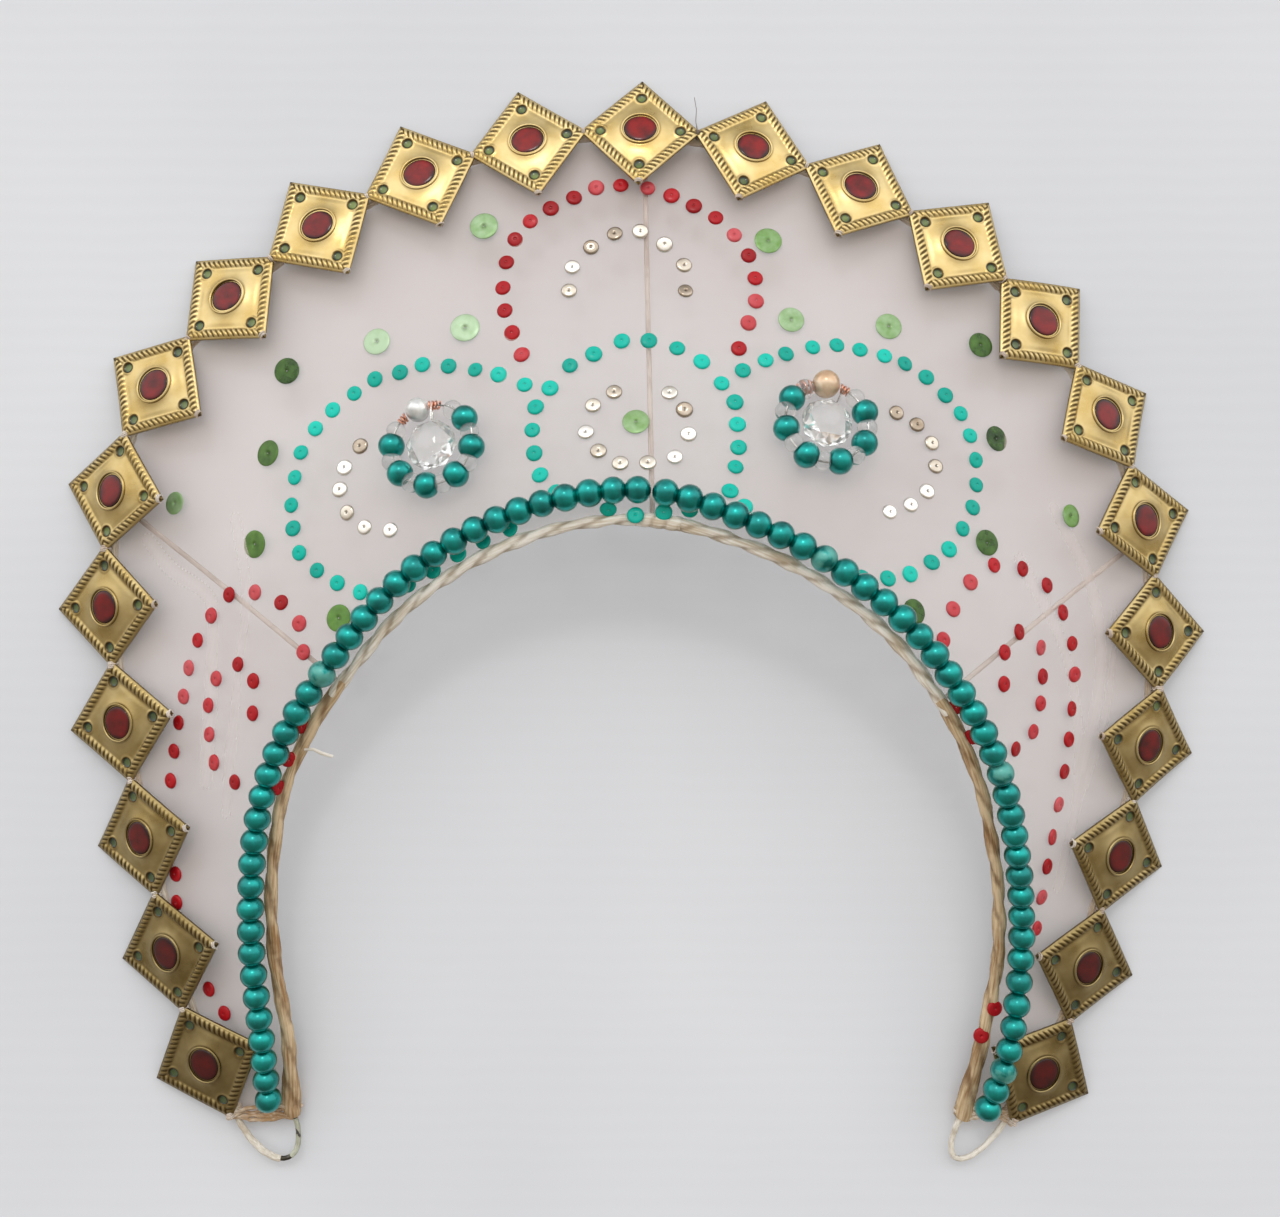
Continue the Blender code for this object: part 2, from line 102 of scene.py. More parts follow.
def add(tree, kind, inputs=None, ramp=None, **settings):
    """Adds a node. Inputs maps a socket to a value or to the output that feeds it.

    A ramp lists its two ends first, then the colours between them.
    """
    made = tree.nodes.new(kind)
    for name, value in settings.items():
        setattr(made, name, value)
    for key, value in (inputs or {}).items():
        if isinstance(value, bpy.types.NodeSocket):
            tree.links.new(value, made.inputs[key])
        else:
            made.inputs[key].default_value = value
    for place, (position, colour) in enumerate(ramp or ()):
        elements = made.color_ramp.elements
        element = elements[place] if place < 2 else elements.new(position)
        element.position = position
        element.color = linear(colour)
    return made


scene = bpy.context.scene
scene.view_settings.view_transform = "Standard"
room = bpy.data.worlds.new("pale_room")
room.use_nodes = True
scene.world = room
sky = room.node_tree
direction = add(sky, "ShaderNodeTexCoord").outputs["Generated"]
upward = add(sky, "ShaderNodeSeparateXYZ", {0: direction}).outputs["Y"]
towards_window = add(sky, "ShaderNodeMapRange", {0: upward, 1: -1.0, 2: 1.0})
walls = add(sky, "ShaderNodeValToRGB", {0: towards_window.outputs[0]}, ramp=ROOM_SHADES)
sky.links.new(walls.outputs[0], sky.nodes["Background"].inputs[0])
sky.nodes["Background"].inputs[1].default_value = ROOM_BRIGHTNESS

window_data = bpy.data.lights.new("window", "AREA")
window_data.shape = "RECTANGLE"
window_data.size, window_data.size_y = WINDOW_SIZE
window_data.energy = WINDOW_POWER
window_data.color = linear("#FFFDF8")[:3]
window = bpy.data.objects.new("window", window_data)
window.location = WINDOW_PLACE
window.rotation_euler = (Vector((0, 0, 0)) - window.location).to_track_quat("-Z", "Y").to_euler()
scene.collection.objects.link(window)

# The floor is plain pale cotton
# It is flat and almost white, with a faint level weave, and takes the soft
# shadows that show how high the sheet stands.
FLOOR_SIZE = 3.0
FLOOR_THREAD = 0.45 * MM
FLOOR_COARSER = 10
FLOOR_CLOUD = 167 * MM
BAND_WIDTH = 0.314


def start_material(name):
    material = bpy.data.materials.new(name)
    material.use_nodes = True
    return material, material.node_tree, material.node_tree.nodes["Principled BSDF"]


def woven_cotton():
    """Bleached cotton: matt and nearly white. Its threads are drawn ten times too coarse, to show.

    The wave texture's bands are BAND_WIDTH metres wide at a scale of 1.
    """
    material, tree, shader = start_material("pale_woven_cotton")
    place = add(tree, "ShaderNodeTexCoord").outputs["Object"]
    cloudy = add(tree, "ShaderNodeTexNoise", {"Vector": place, "Scale": 1 / FLOOR_CLOUD, "Detail": 3.0})
    tint = add(
        tree,
        "ShaderNodeValToRGB",
        {0: cloudy.outputs[0]},
        ramp=[(0.3, "#D3D6DD"), (0.7, "#DDE0E6")],
    )
    threads = add(
        tree,
        "ShaderNodeTexWave",
        {"Vector": place, "Scale": BAND_WIDTH / (FLOOR_THREAD * FLOOR_COARSER), "Distortion": 2.0},
        bands_direction="Y",
    )
    bump = add(tree, "ShaderNodeBump", {"Strength": 0.12, "Distance": 0.0002, "Height": threads.outputs[0]})
    tree.links.new(tint.outputs[0], shader.inputs["Base Color"])
    tree.links.new(bump.outputs[0], shader.inputs["Normal"])
    shader.inputs["Roughness"].default_value = 0.95
    shader.inputs["Specular IOR Level"].default_value = 0.2
    return material


def mesh_piece(name, points, faces, *materials, smooth=True):
    mesh = bpy.data.meshes.new(name)
    mesh.from_pydata([tuple(map(float, point)) for point in points], [], faces)
    mesh.update()
    for material in materials:
        mesh.materials.append(material)
    mesh.polygons.foreach_set("use_smooth", [smooth] * len(mesh.polygons))
    piece = bpy.data.objects.new(name, mesh)
    scene.collection.objects.link(piece)
    return piece


half = FLOOR_SIZE / 2
corners = [(-half, -half, 0), (half, -half, 0), (half, half, 0), (-half, half, 0)]
floor = mesh_piece("floor", corners, [(0, 1, 2, 3)], woven_cotton())
floor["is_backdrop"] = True

# The bent wire, which all the rest is sewn to
# One length of drawn steel wire makes the outer arch, the inner arch and an eye at
# each end. It is bent by hand and lies flat at the ends, with the inner arch lifted.
RIM_WIDTH = 0.2425
RIM_HEIGHT = 0.2316
INNER_RISE = 0.0320
LOOP_DEPTH = 0.0122
LEAD_IN = 0.55
LUMP_SIZE = 2.381 * MM
SWELLING_SIZE = 9.09 * MM
GRIME_SIZE = 2.5 * MM
BARE_RADIUS = 0.58 * MM
WIRE_RADIUS = 0.75 * MM
TAPE_RADIUS = 1.7 * MM
LAST_JOINT = 23.0
SECTION_COLUMNS = (
    "along",
    "outer_side",
    "outer_up",
    "outer_rise",
    "inner_side",
    "inner_up",
    "inner_rise",
    "bead_out",
    "bead_up",
)
SECTIONS = (
    # sides and heights as shares of the arch's width, height and rise
    (0.0, -0.384, 0.004, 0.075, -0.328, 0.006, 0.075, 1.20, 0.0),
    (1.0, -0.426, 0.117, 0.106, -0.327, 0.092, 0.266, 1.10, 0.2),
    (2.0, -0.452, 0.232, 0.131, -0.336, 0.185, 0.390, 0.80, 0.0),
    (4.0, -0.496, 0.464, 0.098, -0.316, 0.351, 0.562, 0.75, 0.0),
    (6.0, -0.481, 0.694, 0.110, -0.237, 0.479, 0.720, 1.00, 0.0),
    (8.0, -0.339, 0.870, 0.081, -0.155, 0.552, 0.812, 1.40, 0.0),
    (10.0, -0.146, 0.974, 0.075, -0.055, 0.593, 0.920, 1.50, 0.0),
    (11.5, 0.014, 0.997, 0.080, 0.021, 0.598, 0.970, 1.60, 0.0),
    (13.0, 0.174, 0.959, 0.080, 0.094, 0.579, 1.000, 1.10, 0.0),
    (15.0, 0.360, 0.842, 0.092, 0.182, 0.533, 1.000, 0.80, 0.0),
    (17.0, 0.479, 0.655, 0.112, 0.257, 0.460, 0.970, 0.80, 0.0),
    (19.0, 0.503, 0.436, 0.115, 0.320, 0.344, 0.734, 0.90, 0.0),
    (21.0, 0.450, 0.213, 0.103, 0.350, 0.171, 0.310, 0.95, 0.0),
    (22.0, 0.420, 0.100, 0.095, 0.338, 0.084, 0.220, 0.80, 0.9),
    (23.0, 0.368, 0.000, 0.075, 0.324, 0.003, 0.075, 0.70, 0.4),
)


def unit(vectors):
    return vectors / np.linalg.norm(vectors, axis=-1, keepdims=True)


def column(name, at):
    """A smooth curve through one column of the sections."""
    knots = np.array([row[0] for row in SECTIONS])
    values = np.array([row[SECTION_COLUMNS.index(name)] for row in SECTIONS])
    at = np.asarray(at, float)
    slopes = np.gradient(values, knots)
    index = np.clip(np.searchsorted(knots, at, side="right") - 1, 0, len(knots) - 2)
    span = knots[index + 1] - knots[index]
    t = (at - knots[index]) / span
    start = (1 + 2 * t) * (1 - t) ** 2 * values[index] + t * (1 - t) ** 2 * span * slopes[index]
    end = t * t * (3 - 2 * t) * values[index + 1] + t * t * (t - 1) * span * slopes[index + 1]
    return start + end


# The arches are worked out in place first, then moved onto the middle of the frame.
settled = np.zeros(3)


def rim_point(rim, at):
    side = column(rim + "_side", at) * RIM_WIDTH
    up = (column(rim + "_up", at) - 0.5) * RIM_HEIGHT
    rise = column(rim + "_rise", at) * INNER_RISE
    return np.stack([side, up, rise], axis=-1) + settled


def lengths_of(path):
    steps = np.linalg.norm(np.diff(path, axis=0), axis=1)
    return np.concatenate([[0.0], np.cumsum(steps)])


def points_along(path, at):
    lengths = lengths_of(path)
    return np.stack([np.interp(at, lengths, path[:, i]) for i in range(3)], axis=-1)


def rim_path(rim, start=0.0, end=LAST_JOINT, count=461):
    return rim_point(rim, np.linspace(start, end, count))


def eye_path(end):
    """The half turn of wire from the outer arch's end to the inner arch's end."""
    outer = rim_point("outer", end)
    inner = rim_point("inner", end)
    onward = outer - rim_point("outer", abs(end - LEAD_IN))
    onward = unit(onward * np.array([1.0, 1.0, 0.0])) * LOOP_DEPTH
    turns = np.linspace(0.0, math.pi, 33)[:, None]
    return (outer + inner) / 2 + (outer - inner) / 2 * np.cos(turns) + onward * np.sin(turns)


route = np.concatenate([rim_path("outer"), eye_path(LAST_JOINT), rim_path("inner"), eye_path(0.0)])
wire_low, wire_high = (np.array(corner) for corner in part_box("wire_frame"))
settled = (wire_low + wire_high) / 2 - (route.min(axis=0) + route.max(axis=0)) / 2


def guide_paths(name, paths, thick=None, closed=False):
    """One guide made of one or more paths. Thick widens the winding from place to place."""
    points, edges = [], []
    for path in paths:
        first = len(points)
        points += [tuple(map(float, point)) for point in path]
        edges += [(i, i + 1) for i in range(first, len(points) - 1)]
        if closed:
            edges.append((len(points) - 1, first))
    mesh = bpy.data.meshes.new(name)
    mesh.from_pydata(points, edges, [])
    layer = mesh.attributes.new("thick", "FLOAT", "POINT")
    layer.data.foreach_set("value", np.ones(len(points)) if thick is None else thick)
    guide = bpy.data.objects.new(name, mesh)
    scene.collection.objects.link(guide)
    return guide


def winding_tree():
    """A strip or a cord wound round a path: laps of tape, twisted strands, or bare wire."""
    tree = bpy.data.node_groups.new("winding", "GeometryNodeTree")
    face = tree.interface
    face.new_socket("Path", in_out="INPUT", socket_type="NodeSocketGeometry")
    for name in ("Radius", "Step", "Pitch", "Lap", "Strands", "Strand Depth", "Lumps", "Flatness"):
        face.new_socket(name, in_out="INPUT", socket_type="NodeSocketFloat")
    face.new_socket("Sides", in_out="INPUT", socket_type="NodeSocketInt")
    face.new_socket("Material", in_out="INPUT", socket_type="NodeSocketMaterial")
    face.new_socket("Piece", in_out="OUTPUT", socket_type="NodeSocketGeometry")
    given = add(tree, "NodeGroupInput").outputs

    def maths(operation, first, second=0.0):
        return add(tree, "ShaderNodeMath", {0: first, 1: second}, operation=operation).outputs[0]

    path = add(tree, "GeometryNodeMeshToCurve", {0: given["Path"]}).outputs[0]
    path = add(tree, "GeometryNodeResampleCurve", {0: path, "Length": given["Step"]}, mode="LENGTH")
    path = add(tree, "GeometryNodeSetCurveNormal", {0: path.outputs[0]}, mode="Z_UP").outputs[0]
    run = add(tree, "GeometryNodeSplineParameter").outputs["Length"]
    path = add(tree, "GeometryNodeStoreNamedAttribute", {0: path, "Name": "run", "Value": run})
    ring = add(tree, "GeometryNodeCurvePrimitiveCircle", {"Resolution": given["Sides"]})
    ring_factor = add(tree, "GeometryNodeSplineParameter").outputs["Factor"]
    ring = add(
        tree,
        "GeometryNodeStoreNamedAttribute",
        {0: ring.outputs[0], "Name": "round", "Value": ring_factor},
    )
    flat = add(tree, "ShaderNodeCombineXYZ", {0: 1.0, 1: given["Flatness"], 2: 1.0}).outputs[0]
    flat = add(tree, "ShaderNodeVectorMath", {0: flat, 3: given["Radius"]}, operation="SCALE")
    ring = add(tree, "GeometryNodeTransform", {0: ring.outputs[0], "Scale": flat.outputs[0]})
    skin = add(
        tree,
        "GeometryNodeCurveToMesh",
        {"Curve": path.outputs[0], "Profile Curve": ring.outputs[0], "Fill Caps": True},
    ).outputs[0]
    run = add(tree, "GeometryNodeInputNamedAttribute", {"Name": "run"}).outputs[0]
    turn = add(tree, "GeometryNodeInputNamedAttribute", {"Name": "round"}).outputs[0]
    turns = maths("DIVIDE", run, given["Pitch"])
    lap = maths("FRACT", maths("ADD", turns, turn))
    lap_height = maths("MULTIPLY", lap, given["Lap"])
    wave = maths("MULTIPLY", maths("ADD", turns, turn), given["Strands"])
    wave = maths("ABSOLUTE", maths("SINE", maths("MULTIPLY", wave, math.pi)))
    strand_height = maths("MULTIPLY", wave, given["Strand Depth"])
    lumpy = add(tree, "ShaderNodeTexNoise", {"Scale": 1 / LUMP_SIZE, "Detail": 2.0}).outputs[0]
    swelling = add(tree, "ShaderNodeTexNoise", {"Scale": 1 / SWELLING_SIZE, "Detail": 1.0}).outputs[0]
    unevenness = maths("SUBTRACT", maths("ADD", lumpy, maths("MULTIPLY", swelling, 1.6)), 1.3)
    lump_height = maths("MULTIPLY", unevenness, given["Lumps"])
    thick = add(tree, "GeometryNodeInputNamedAttribute", {"Name": "thick"}).outputs[0]
    wider = maths("MULTIPLY", maths("SUBTRACT", thick, 1.0), given["Radius"])
    total = maths("ADD", maths("ADD", lap_height, strand_height), maths("ADD", lump_height, wider))
    normal = add(tree, "GeometryNodeInputNormal").outputs[0]
    push = add(tree, "ShaderNodeVectorMath", {0: normal, 3: total}, operation="SCALE").outputs[0]
    skin = add(tree, "GeometryNodeSetPosition", {0: skin, "Offset": push}).outputs[0]
    skin = add(tree, "GeometryNodeStoreNamedAttribute", {0: skin, "Name": "lap", "Value": lap})
    untwisted = maths("MULTIPLY", maths("LESS_THAN", given["Strands"], 0.5), 0.45)
    relief = maths("ADD", maths("ADD", maths("MULTIPLY", wave, 0.6), untwisted), lumpy)
    skin = add(
        tree,
        "GeometryNodeStoreNamedAttribute",
        {0: skin.outputs[0], "Name": "relief", "Value": relief},
    )
    lay = add(tree, "ShaderNodeCombineXYZ", {0: run, 1: maths("MULTIPLY", turns, 0.01), 2: turn})
    skin = add(
        tree,
        "GeometryNodeStoreNamedAttribute",
        {0: skin.outputs[0], "Name": "lay", "Value": lay.outputs[0]},
        data_type="FLOAT_VECTOR",
    )
    skin = add(tree, "GeometryNodeRealizeInstances", {0: skin.outputs[0]}).outputs[0]
    skin = add(tree, "GeometryNodeSetMaterial", {0: skin, "Material": given["Material"]}).outputs[0]
    add(tree, "NodeGroupOutput", {0: skin})
    return tree


def made_by(tree, guide, name, values):
    """The plain mesh that a node tree makes of this guide, as a piece at the origin."""
    modifier = guide.modifiers.new("made", "NODES")
    modifier.node_group = tree
    for item in tree.interface.items_tree:
        if item.in_out == "INPUT" and item.name in values:
            modifier[item.identifier] = values[item.name]
    guide.update_tag()
    bpy.context.view_layer.update()
    graph = bpy.context.evaluated_depsgraph_get()
    mesh = bpy.data.meshes.new_from_object(guide.evaluated_get(graph))
    mesh.name = name
    mesh.polygons.foreach_set("use_smooth", [True] * len(mesh.polygons))
    bpy.data.objects.remove(guide, do_unlink=True)
    piece = bpy.data.objects.new(name, mesh)
    scene.collection.objects.link(piece)
    return piece


WINDING = winding_tree()
WINDING_PLAIN = {
    "Radius": WIRE_RADIUS,
    "Step": 0.7 * MM,
    "Pitch": 4.0 * MM,
    "Lap": 0.0,
    "Strands": 0.0,
    "Strand Depth": 0.0,
    "Lumps": 0.0,
    "Flatness": 1.0,
    "Sides": 12,
}


def wind(name, path, material, thick=None, **changes):
    values = {**WINDING_PLAIN, **changes, "Material": material}
    paths = path if isinstance(path, list) else [path]
    return made_by(WINDING, guide_paths(name + "_path", paths, thick), name, values)


def drawn_steel(name, colour, roughness):
    """Drawn steel wire: dull grey, with a little grime."""
    material, tree, shader = start_material(name)
    place = add(tree, "ShaderNodeTexCoord").outputs["Object"]
    darkening = add(tree, "ShaderNodeTexNoise", {"Vector": place, "Scale": 1 / GRIME_SIZE, "Detail": 3.0})
    tint = add(
        tree,
        "ShaderNodeValToRGB",
        {0: darkening.outputs[0]},
        ramp=[(0.35, "#4A4740"), (0.6, colour)],
    )
    tree.links.new(tint.outputs[0], shader.inputs["Base Color"])
    shader.inputs["Metallic"].default_value = 1.0
    shader.inputs["Roughness"].default_value = roughness
    return material


bare_wire = drawn_steel("bare_steel_wire", "#6F6D68", 0.40)
EYES = {"left": eye_path(0.0), "right": eye_path(LAST_JOINT)}

wire_loop = [rim_path("outer"), EYES["right"][1:-1]]
wire_loop += [rim_path("inner")[::-1], EYES["left"][::-1][1:-1]]
wire_guide = guide_paths("wire_path", [np.concatenate(wire_loop)], closed=True)
wire_sizes = {**WINDING_PLAIN, "Radius": BARE_RADIUS, "Step": 1.2 * MM, "Material": bare_wire}
bent_wire = made_by(WINDING, wire_guide, "bent_wire", wire_sizes)
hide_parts("wire_frame")
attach(bent_wire, "root")

# The tape round the outer wire and the eyes
# Old cream cotton tape is wound along the outer wire, and thinner tape round both
# eyes, but for a short bare place at the left one.
EYE_STRETCHES = (
    # which eye, from, to, radius in mm, lap in mm
    ("left", 0.00, 0.53, 0.68, 0.12),
    ("left", 0.62, 0.93, 0.62, 0.08),
    ("right", 0.00, 1.00, 0.66, 0.14),
)
# a stretch thinner than this, in mm, is wound with the grey waxed tape
THIN_TAPE_RADIUS = 0.65
STAIN_SIZE = 11.1 * MM
FIBRES_ROUND = 9.0


def wound_cotton(name, light, dark, stain_and_shade_colour, fibre_length=8 * MM):
    """Old cotton tape: matt, with fibres that run along it and brown stains. Its grooves and lap edges are
    painted brown: partly stain, partly painted shade.
    """
    material, tree, shader = start_material(name)
    place = add(tree, "ShaderNodeTexCoord").outputs["Object"]
    lap = add(tree, "ShaderNodeAttribute", attribute_name="lap").outputs["Fac"]
    relief = add(tree, "ShaderNodeAttribute", attribute_name="relief").outputs["Fac"]
    lay = add(tree, "ShaderNodeAttribute", attribute_name="lay").outputs["Vector"]
    blotch = add(tree, "ShaderNodeTexNoise", {"Vector": place, "Scale": 1 / STAIN_SIZE, "Detail": 4.0})
    combing = (1 / fibre_length, 0.0, FIBRES_ROUND)
    combed = add(tree, "ShaderNodeMapping", {"Vector": lay, "Scale": combing})
    fibre = add(tree, "ShaderNodeTexNoise", {"Vector": combed.outputs[0], "Scale": 2.0, "Detail": 4.0})
    streaked = add(
        tree, "ShaderNodeMix", {0: 0.5, 2: blotch.outputs[0], 3: fibre.outputs[0]}, data_type="FLOAT"
    )
    base = add(
        tree,
        "ShaderNodeValToRGB",
        {0: streaked.outputs[0]},
        ramp=[(0.40, dark), (0.56, light)],
    )
    # The grooves between strands and the edge of each lap are painted brown: partly stain, partly painted
    # shade.
    crease = add(tree, "ShaderNodeMapRange", {0: relief, 1: 0.5, 2: 0.9, 3: 0.65, 4: 0.0})
    edge = add(tree, "ShaderNodeMapRange", {0: lap, 1: 0.0, 2: 0.10, 3: 0.5, 4: 0.0})
    stain_and_shade_mask = add(tree, "ShaderNodeMath", {0: crease.outputs[0], 1: edge.outputs[0]}, operation="MAXIMUM")
    colour = add(
        tree,
        "ShaderNodeMix",
        {0: stain_and_shade_mask.outputs[0], 6: base.outputs[0], 7: linear(stain_and_shade_colour)},
        data_type="RGBA",
    )
    bump = add(tree, "ShaderNodeBump", {"Strength": 0.8, "Distance": 0.0003, "Height": fibre.outputs[0]})
    tree.links.new(colour.outputs[2], shader.inputs["Base Color"])
    tree.links.new(bump.outputs[0], shader.inputs["Normal"])
    shader.inputs["Roughness"].default_value = 0.88
    shader.inputs["Specular IOR Level"].default_value = 0.25
    return material


rim_tape = wound_cotton("rim_cotton_tape", "#E6DCCB", "#B79D7E", "#7D6243")
eye_tape = wound_cotton("eye_cotton_tape", "#E9E4DA", "#C0B39F", "#84725C", 3 * MM)
thin_tape = wound_cotton("grey_waxed_tape", "#C9CCBC", "#A5A794", "#77745F", 3 * MM)

outer_tape = wind(
    "outer_tape",
    rim_path("outer"),
    rim_tape,
    Radius=0.95 * MM,
    Lap=0.22 * MM,
    Lumps=0.25 * MM,
    Pitch=4.2 * MM,
    Sides=10,
)
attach(outer_tape, "root")

for number, (side, start, end, radius, lap) in enumerate(EYE_STRETCHES, start=1):
    part = np.linspace(start, end, 60) * lengths_of(EYES[side])[-1]
    taped = wind(
        f"{side}_eye_tape_{number}",
        points_along(EYES[side], part),
        thin_tape if radius < THIN_TAPE_RADIUS else eye_tape,
        Radius=radius * MM,
        Lap=lap * MM,
        Lumps=0.25 * MM,
        Step=0.4 * MM,
    )
    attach(taped, "root")

# The binding of the inner arch
# Narrow cotton tape is wound over the inner wire and the edge of the sheet. At the
# top of the arch it has twisted into a loose cord, and it widens flat at both ends.
BINDING_STRETCHES = (
    # from, to, strands, strand depth, lap, flatness, pitch, radius
    (0.0, 5.4, 2.0, 0.40, 0.25, 0.75, 24.0, 1.05),
    (5.2, 11.3, 2.0, 0.50, 0.0, 0.85, 17.0, 0.98),
    (11.2, 12.0, 1.0, 0.25, 0.2, 0.95, 3.0, 1.30),
    (11.9, 17.8, 2.0, 0.50, 0.0, 0.85, 15.0, 0.98),
    (17.6, 23.0, 2.0, 0.40, 0.3, 0.75, 21.0, 1.05),
)
ARM_STRETCHES = (1, 5)
END_FLARE = 0.9
FLARE_REACH = 0.5
LOOSE_END = ((-73.0, -28.6, 0.9), (-71.0, -28.5, 1.2), (-69.0, -29.5, 1.0), (-66.8, -30.2, 0.4))
top_cotton = wound_cotton("twisted_cotton", "#F2EDE4", "#CBBBA3", "#9A8468", 14 * MM)
arm_cotton = wound_cotton("folded_cotton", "#D3BC9A", "#977550", "#6C4F34", 14 * MM)
for number, row in enumerate(BINDING_STRETCHES, start=1):
    start, end, strands, depth, lap, flatness, pitch, radius = row
    along = np.linspace(start, end, 240)
    from_end = np.minimum(along, LAST_JOINT - along)
    binding = wind(
        f"inner_binding_{number}",
        rim_point("inner", along),
        arm_cotton if number in ARM_STRETCHES else top_cotton,
        1 + END_FLARE * np.exp(-from_end / FLARE_REACH),
        Radius=radius * MM,
        Step=0.5 * MM,
        Pitch=pitch * MM,
        Lap=lap * MM,
        Strands=strands,
        Flatness=flatness,
        Lumps=0.42 * MM,
        Sides=22,
        **{"Strand Depth": depth * MM},
    )
    if number == 1:
        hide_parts("inner_binding")
    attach(binding, "root")

near = np.linspace(0.0, LAST_JOINT / 2, 400)
start = near[np.argmin(np.abs(rim_point("inner", near)[:, 1] - LOOSE_END[0][1] * MM))]
loose = np.array(LOOSE_END) * MM + rim_point("inner", start) * np.array([0, 0, 1])
loose = points_along(loose, np.linspace(0, lengths_of(loose)[-1], 24))
loose = wind("loose_cotton_end", loose, top_cotton, Radius=0.35 * MM, Step=0.3 * MM, Lumps=0.2 * MM)
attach(loose, "root")

# The sheet of organza, stretched between the two arches
# It is one layer of sheer pinkish nylon with fine ribs, cut as a crescent, pulled
# into a shallow cone and folded over the wires.
SHEET_SAG = 0.0024
SHEET_SAG_WIDTH = 0.094
SHEET_ABOVE_WIRE = 0.0006
SHEET_ALONG = 520
SHEET_ACROSS = 100
RIB_SPACING = 0.9 * MM
RIB_TURN = math.radians(12)
SHEET_CLOUD = 45.5 * MM
FOLD_WIDTH = 1.6 * MM
EDGE_RIPPLE = 0.25 * MM
MIDDLE_RIPPLE = 0.3 * MM
FOLDS = (
    # places in mm along each faint crease, and how strongly its painted light and shade shows
    (0.8, ((-113, 19), (-107, 12), (-98, 6), (-96.8, -10), (-98, -37))),
    (0.5, ((-91, 24), (-88, 8), (-90, -12), (-93, -44))),
    (0.9, ((97, 26), (106, 8), (108, -12), (104, -34))),
    (0.6, ((88, 14), (99, -8), (103, -30), (99, -62))),
    (0.5, ((112, 2), (110, -20), (101, -48))),
)


def sheet_point(along, across):
    """Across runs from 0 at the outer wire to 1 at the inner wire."""
    along, across = np.broadcast_arrays(np.asarray(along, float), np.asarray(across, float))
    outer = rim_point("outer", along)
    inner = rim_point("inner", along)
    width = np.linalg.norm((inner - outer)[..., :2], axis=-1)
    sag = 4 * SHEET_SAG * across * (1 - across) * width / SHEET_SAG_WIDTH
    points = outer + across[..., None] * (inner - outer)
    points[..., 2] += SHEET_ABOVE_WIRE - sag
    return points


def sheet_normal(along, across):
    step = 0.02
    ahead = sheet_point(along + 5 * step, across) - sheet_point(along - 5 * step, across)
    inward = sheet_point(along, across + step) - sheet_point(along, across - step)
    normal = unit(np.cross(inward, ahead))
    return normal * np.sign(normal[..., 2:3])


def sheet_width(along):
    return np.linalg.norm(rim_point("inner", along) - rim_point("outer", along), axis=-1)


def sheer_organza():
    """Nylon organza: nearly clear, with a pinkish cast. Its ribs are drawn coarser than real, to show."""
    material, tree, shader = start_material("sheer_nylon_organza")
    place = add(tree, "ShaderNodeTexCoord").outputs["Object"]
    turned = add(tree, "ShaderNodeMapping", {"Vector": place, "Rotation": (0, 0, RIB_TURN)})
    ribs = add(
        tree,
        "ShaderNodeTexWave",
        {"Vector": turned.outputs[0], "Scale": BAND_WIDTH / RIB_SPACING, "Distortion": 0.25, "Detail": 0.0},
    )
    cloudy = add(tree, "ShaderNodeTexNoise", {"Vector": place, "Scale": 1 / SHEET_CLOUD, "Detail": 3.0})
    fold = add(tree, "ShaderNodeAttribute", attribute_name="fold").outputs["Fac"]
    shown = add(tree, "ShaderNodeMapRange", {0: cloudy.outputs[0], 1: 0.3, 2: 0.7, 3: 0.003, 4: 0.012})
    ribbed = add(tree, "ShaderNodeMath", {0: ribs.outputs[0], 1: shown.outputs[0]}, operation="MULTIPLY")
    # Along each crease the sheet is painted more opaque and so paler: painted light and shade for a fold the
    # mesh does not shape.
    fold_shading = add(tree, "ShaderNodeMath", {0: fold, 1: 0.08, 2: ribbed.outputs[0]}, operation="MULTIPLY_ADD")
    cover = add(tree, "ShaderNodeMath", {0: fold_shading.outputs[0], 1: 0.25}, operation="ADD")
    tint = add(
        tree,
        "ShaderNodeValToRGB",
        {0: cloudy.outputs[0]},
        ramp=[(0.3, "#F8E1D8"), (0.7, "#FFEFE8")],
    )
    tree.links.new(tint.outputs[0], shader.inputs["Base Color"])
    tree.links.new(cover.outputs[0], shader.inputs["Alpha"])
    shader.inputs["Roughness"].default_value = 0.55
    shader.inputs["Specular IOR Level"].default_value = 0.3
    return material


def smooth_line(places, count):
    """Evenly spaced points, in metres, on a smooth line through places given in mm."""
    places = np.array(places, float) * MM
    knots = lengths_of(np.column_stack([places, np.zeros(len(places))]))
    at = np.linspace(0, knots[-1], 200)
    index = np.clip(np.searchsorted(knots, at, side="right") - 1, 0, len(knots) - 2)
    span = (knots[index + 1] - knots[index])[:, None]
    t = (at - knots[index])[:, None] / span
    slopes = np.gradient(places, knots, axis=0)
    line = (1 + 2 * t) * (1 - t) ** 2 * places[index] + t * (1 - t) ** 2 * span * slopes[index]
    line = line + t * t * (3 - 2 * t) * places[index + 1] + t * t * (t - 1) * span * slopes[index + 1]
    line = np.column_stack([line, np.zeros(len(line))])
    return points_along(line, np.linspace(0, lengths_of(line)[-1], count))[:, :2]


along = np.linspace(0.0, LAST_JOINT, SHEET_ALONG + 1)[:, None]
across = np.linspace(0.0, 1.0, SHEET_ACROSS + 1)[None, :]
grid = sheet_point(along, across)
ripple = EDGE_RIPPLE * np.sin(along * 2 * math.pi) * (1 - across) ** 2 * np.sin(across * 9)
ripple = ripple + MIDDLE_RIPPLE * np.sin(along * 3.1 + 5 * across) * across * (1 - across) * 4
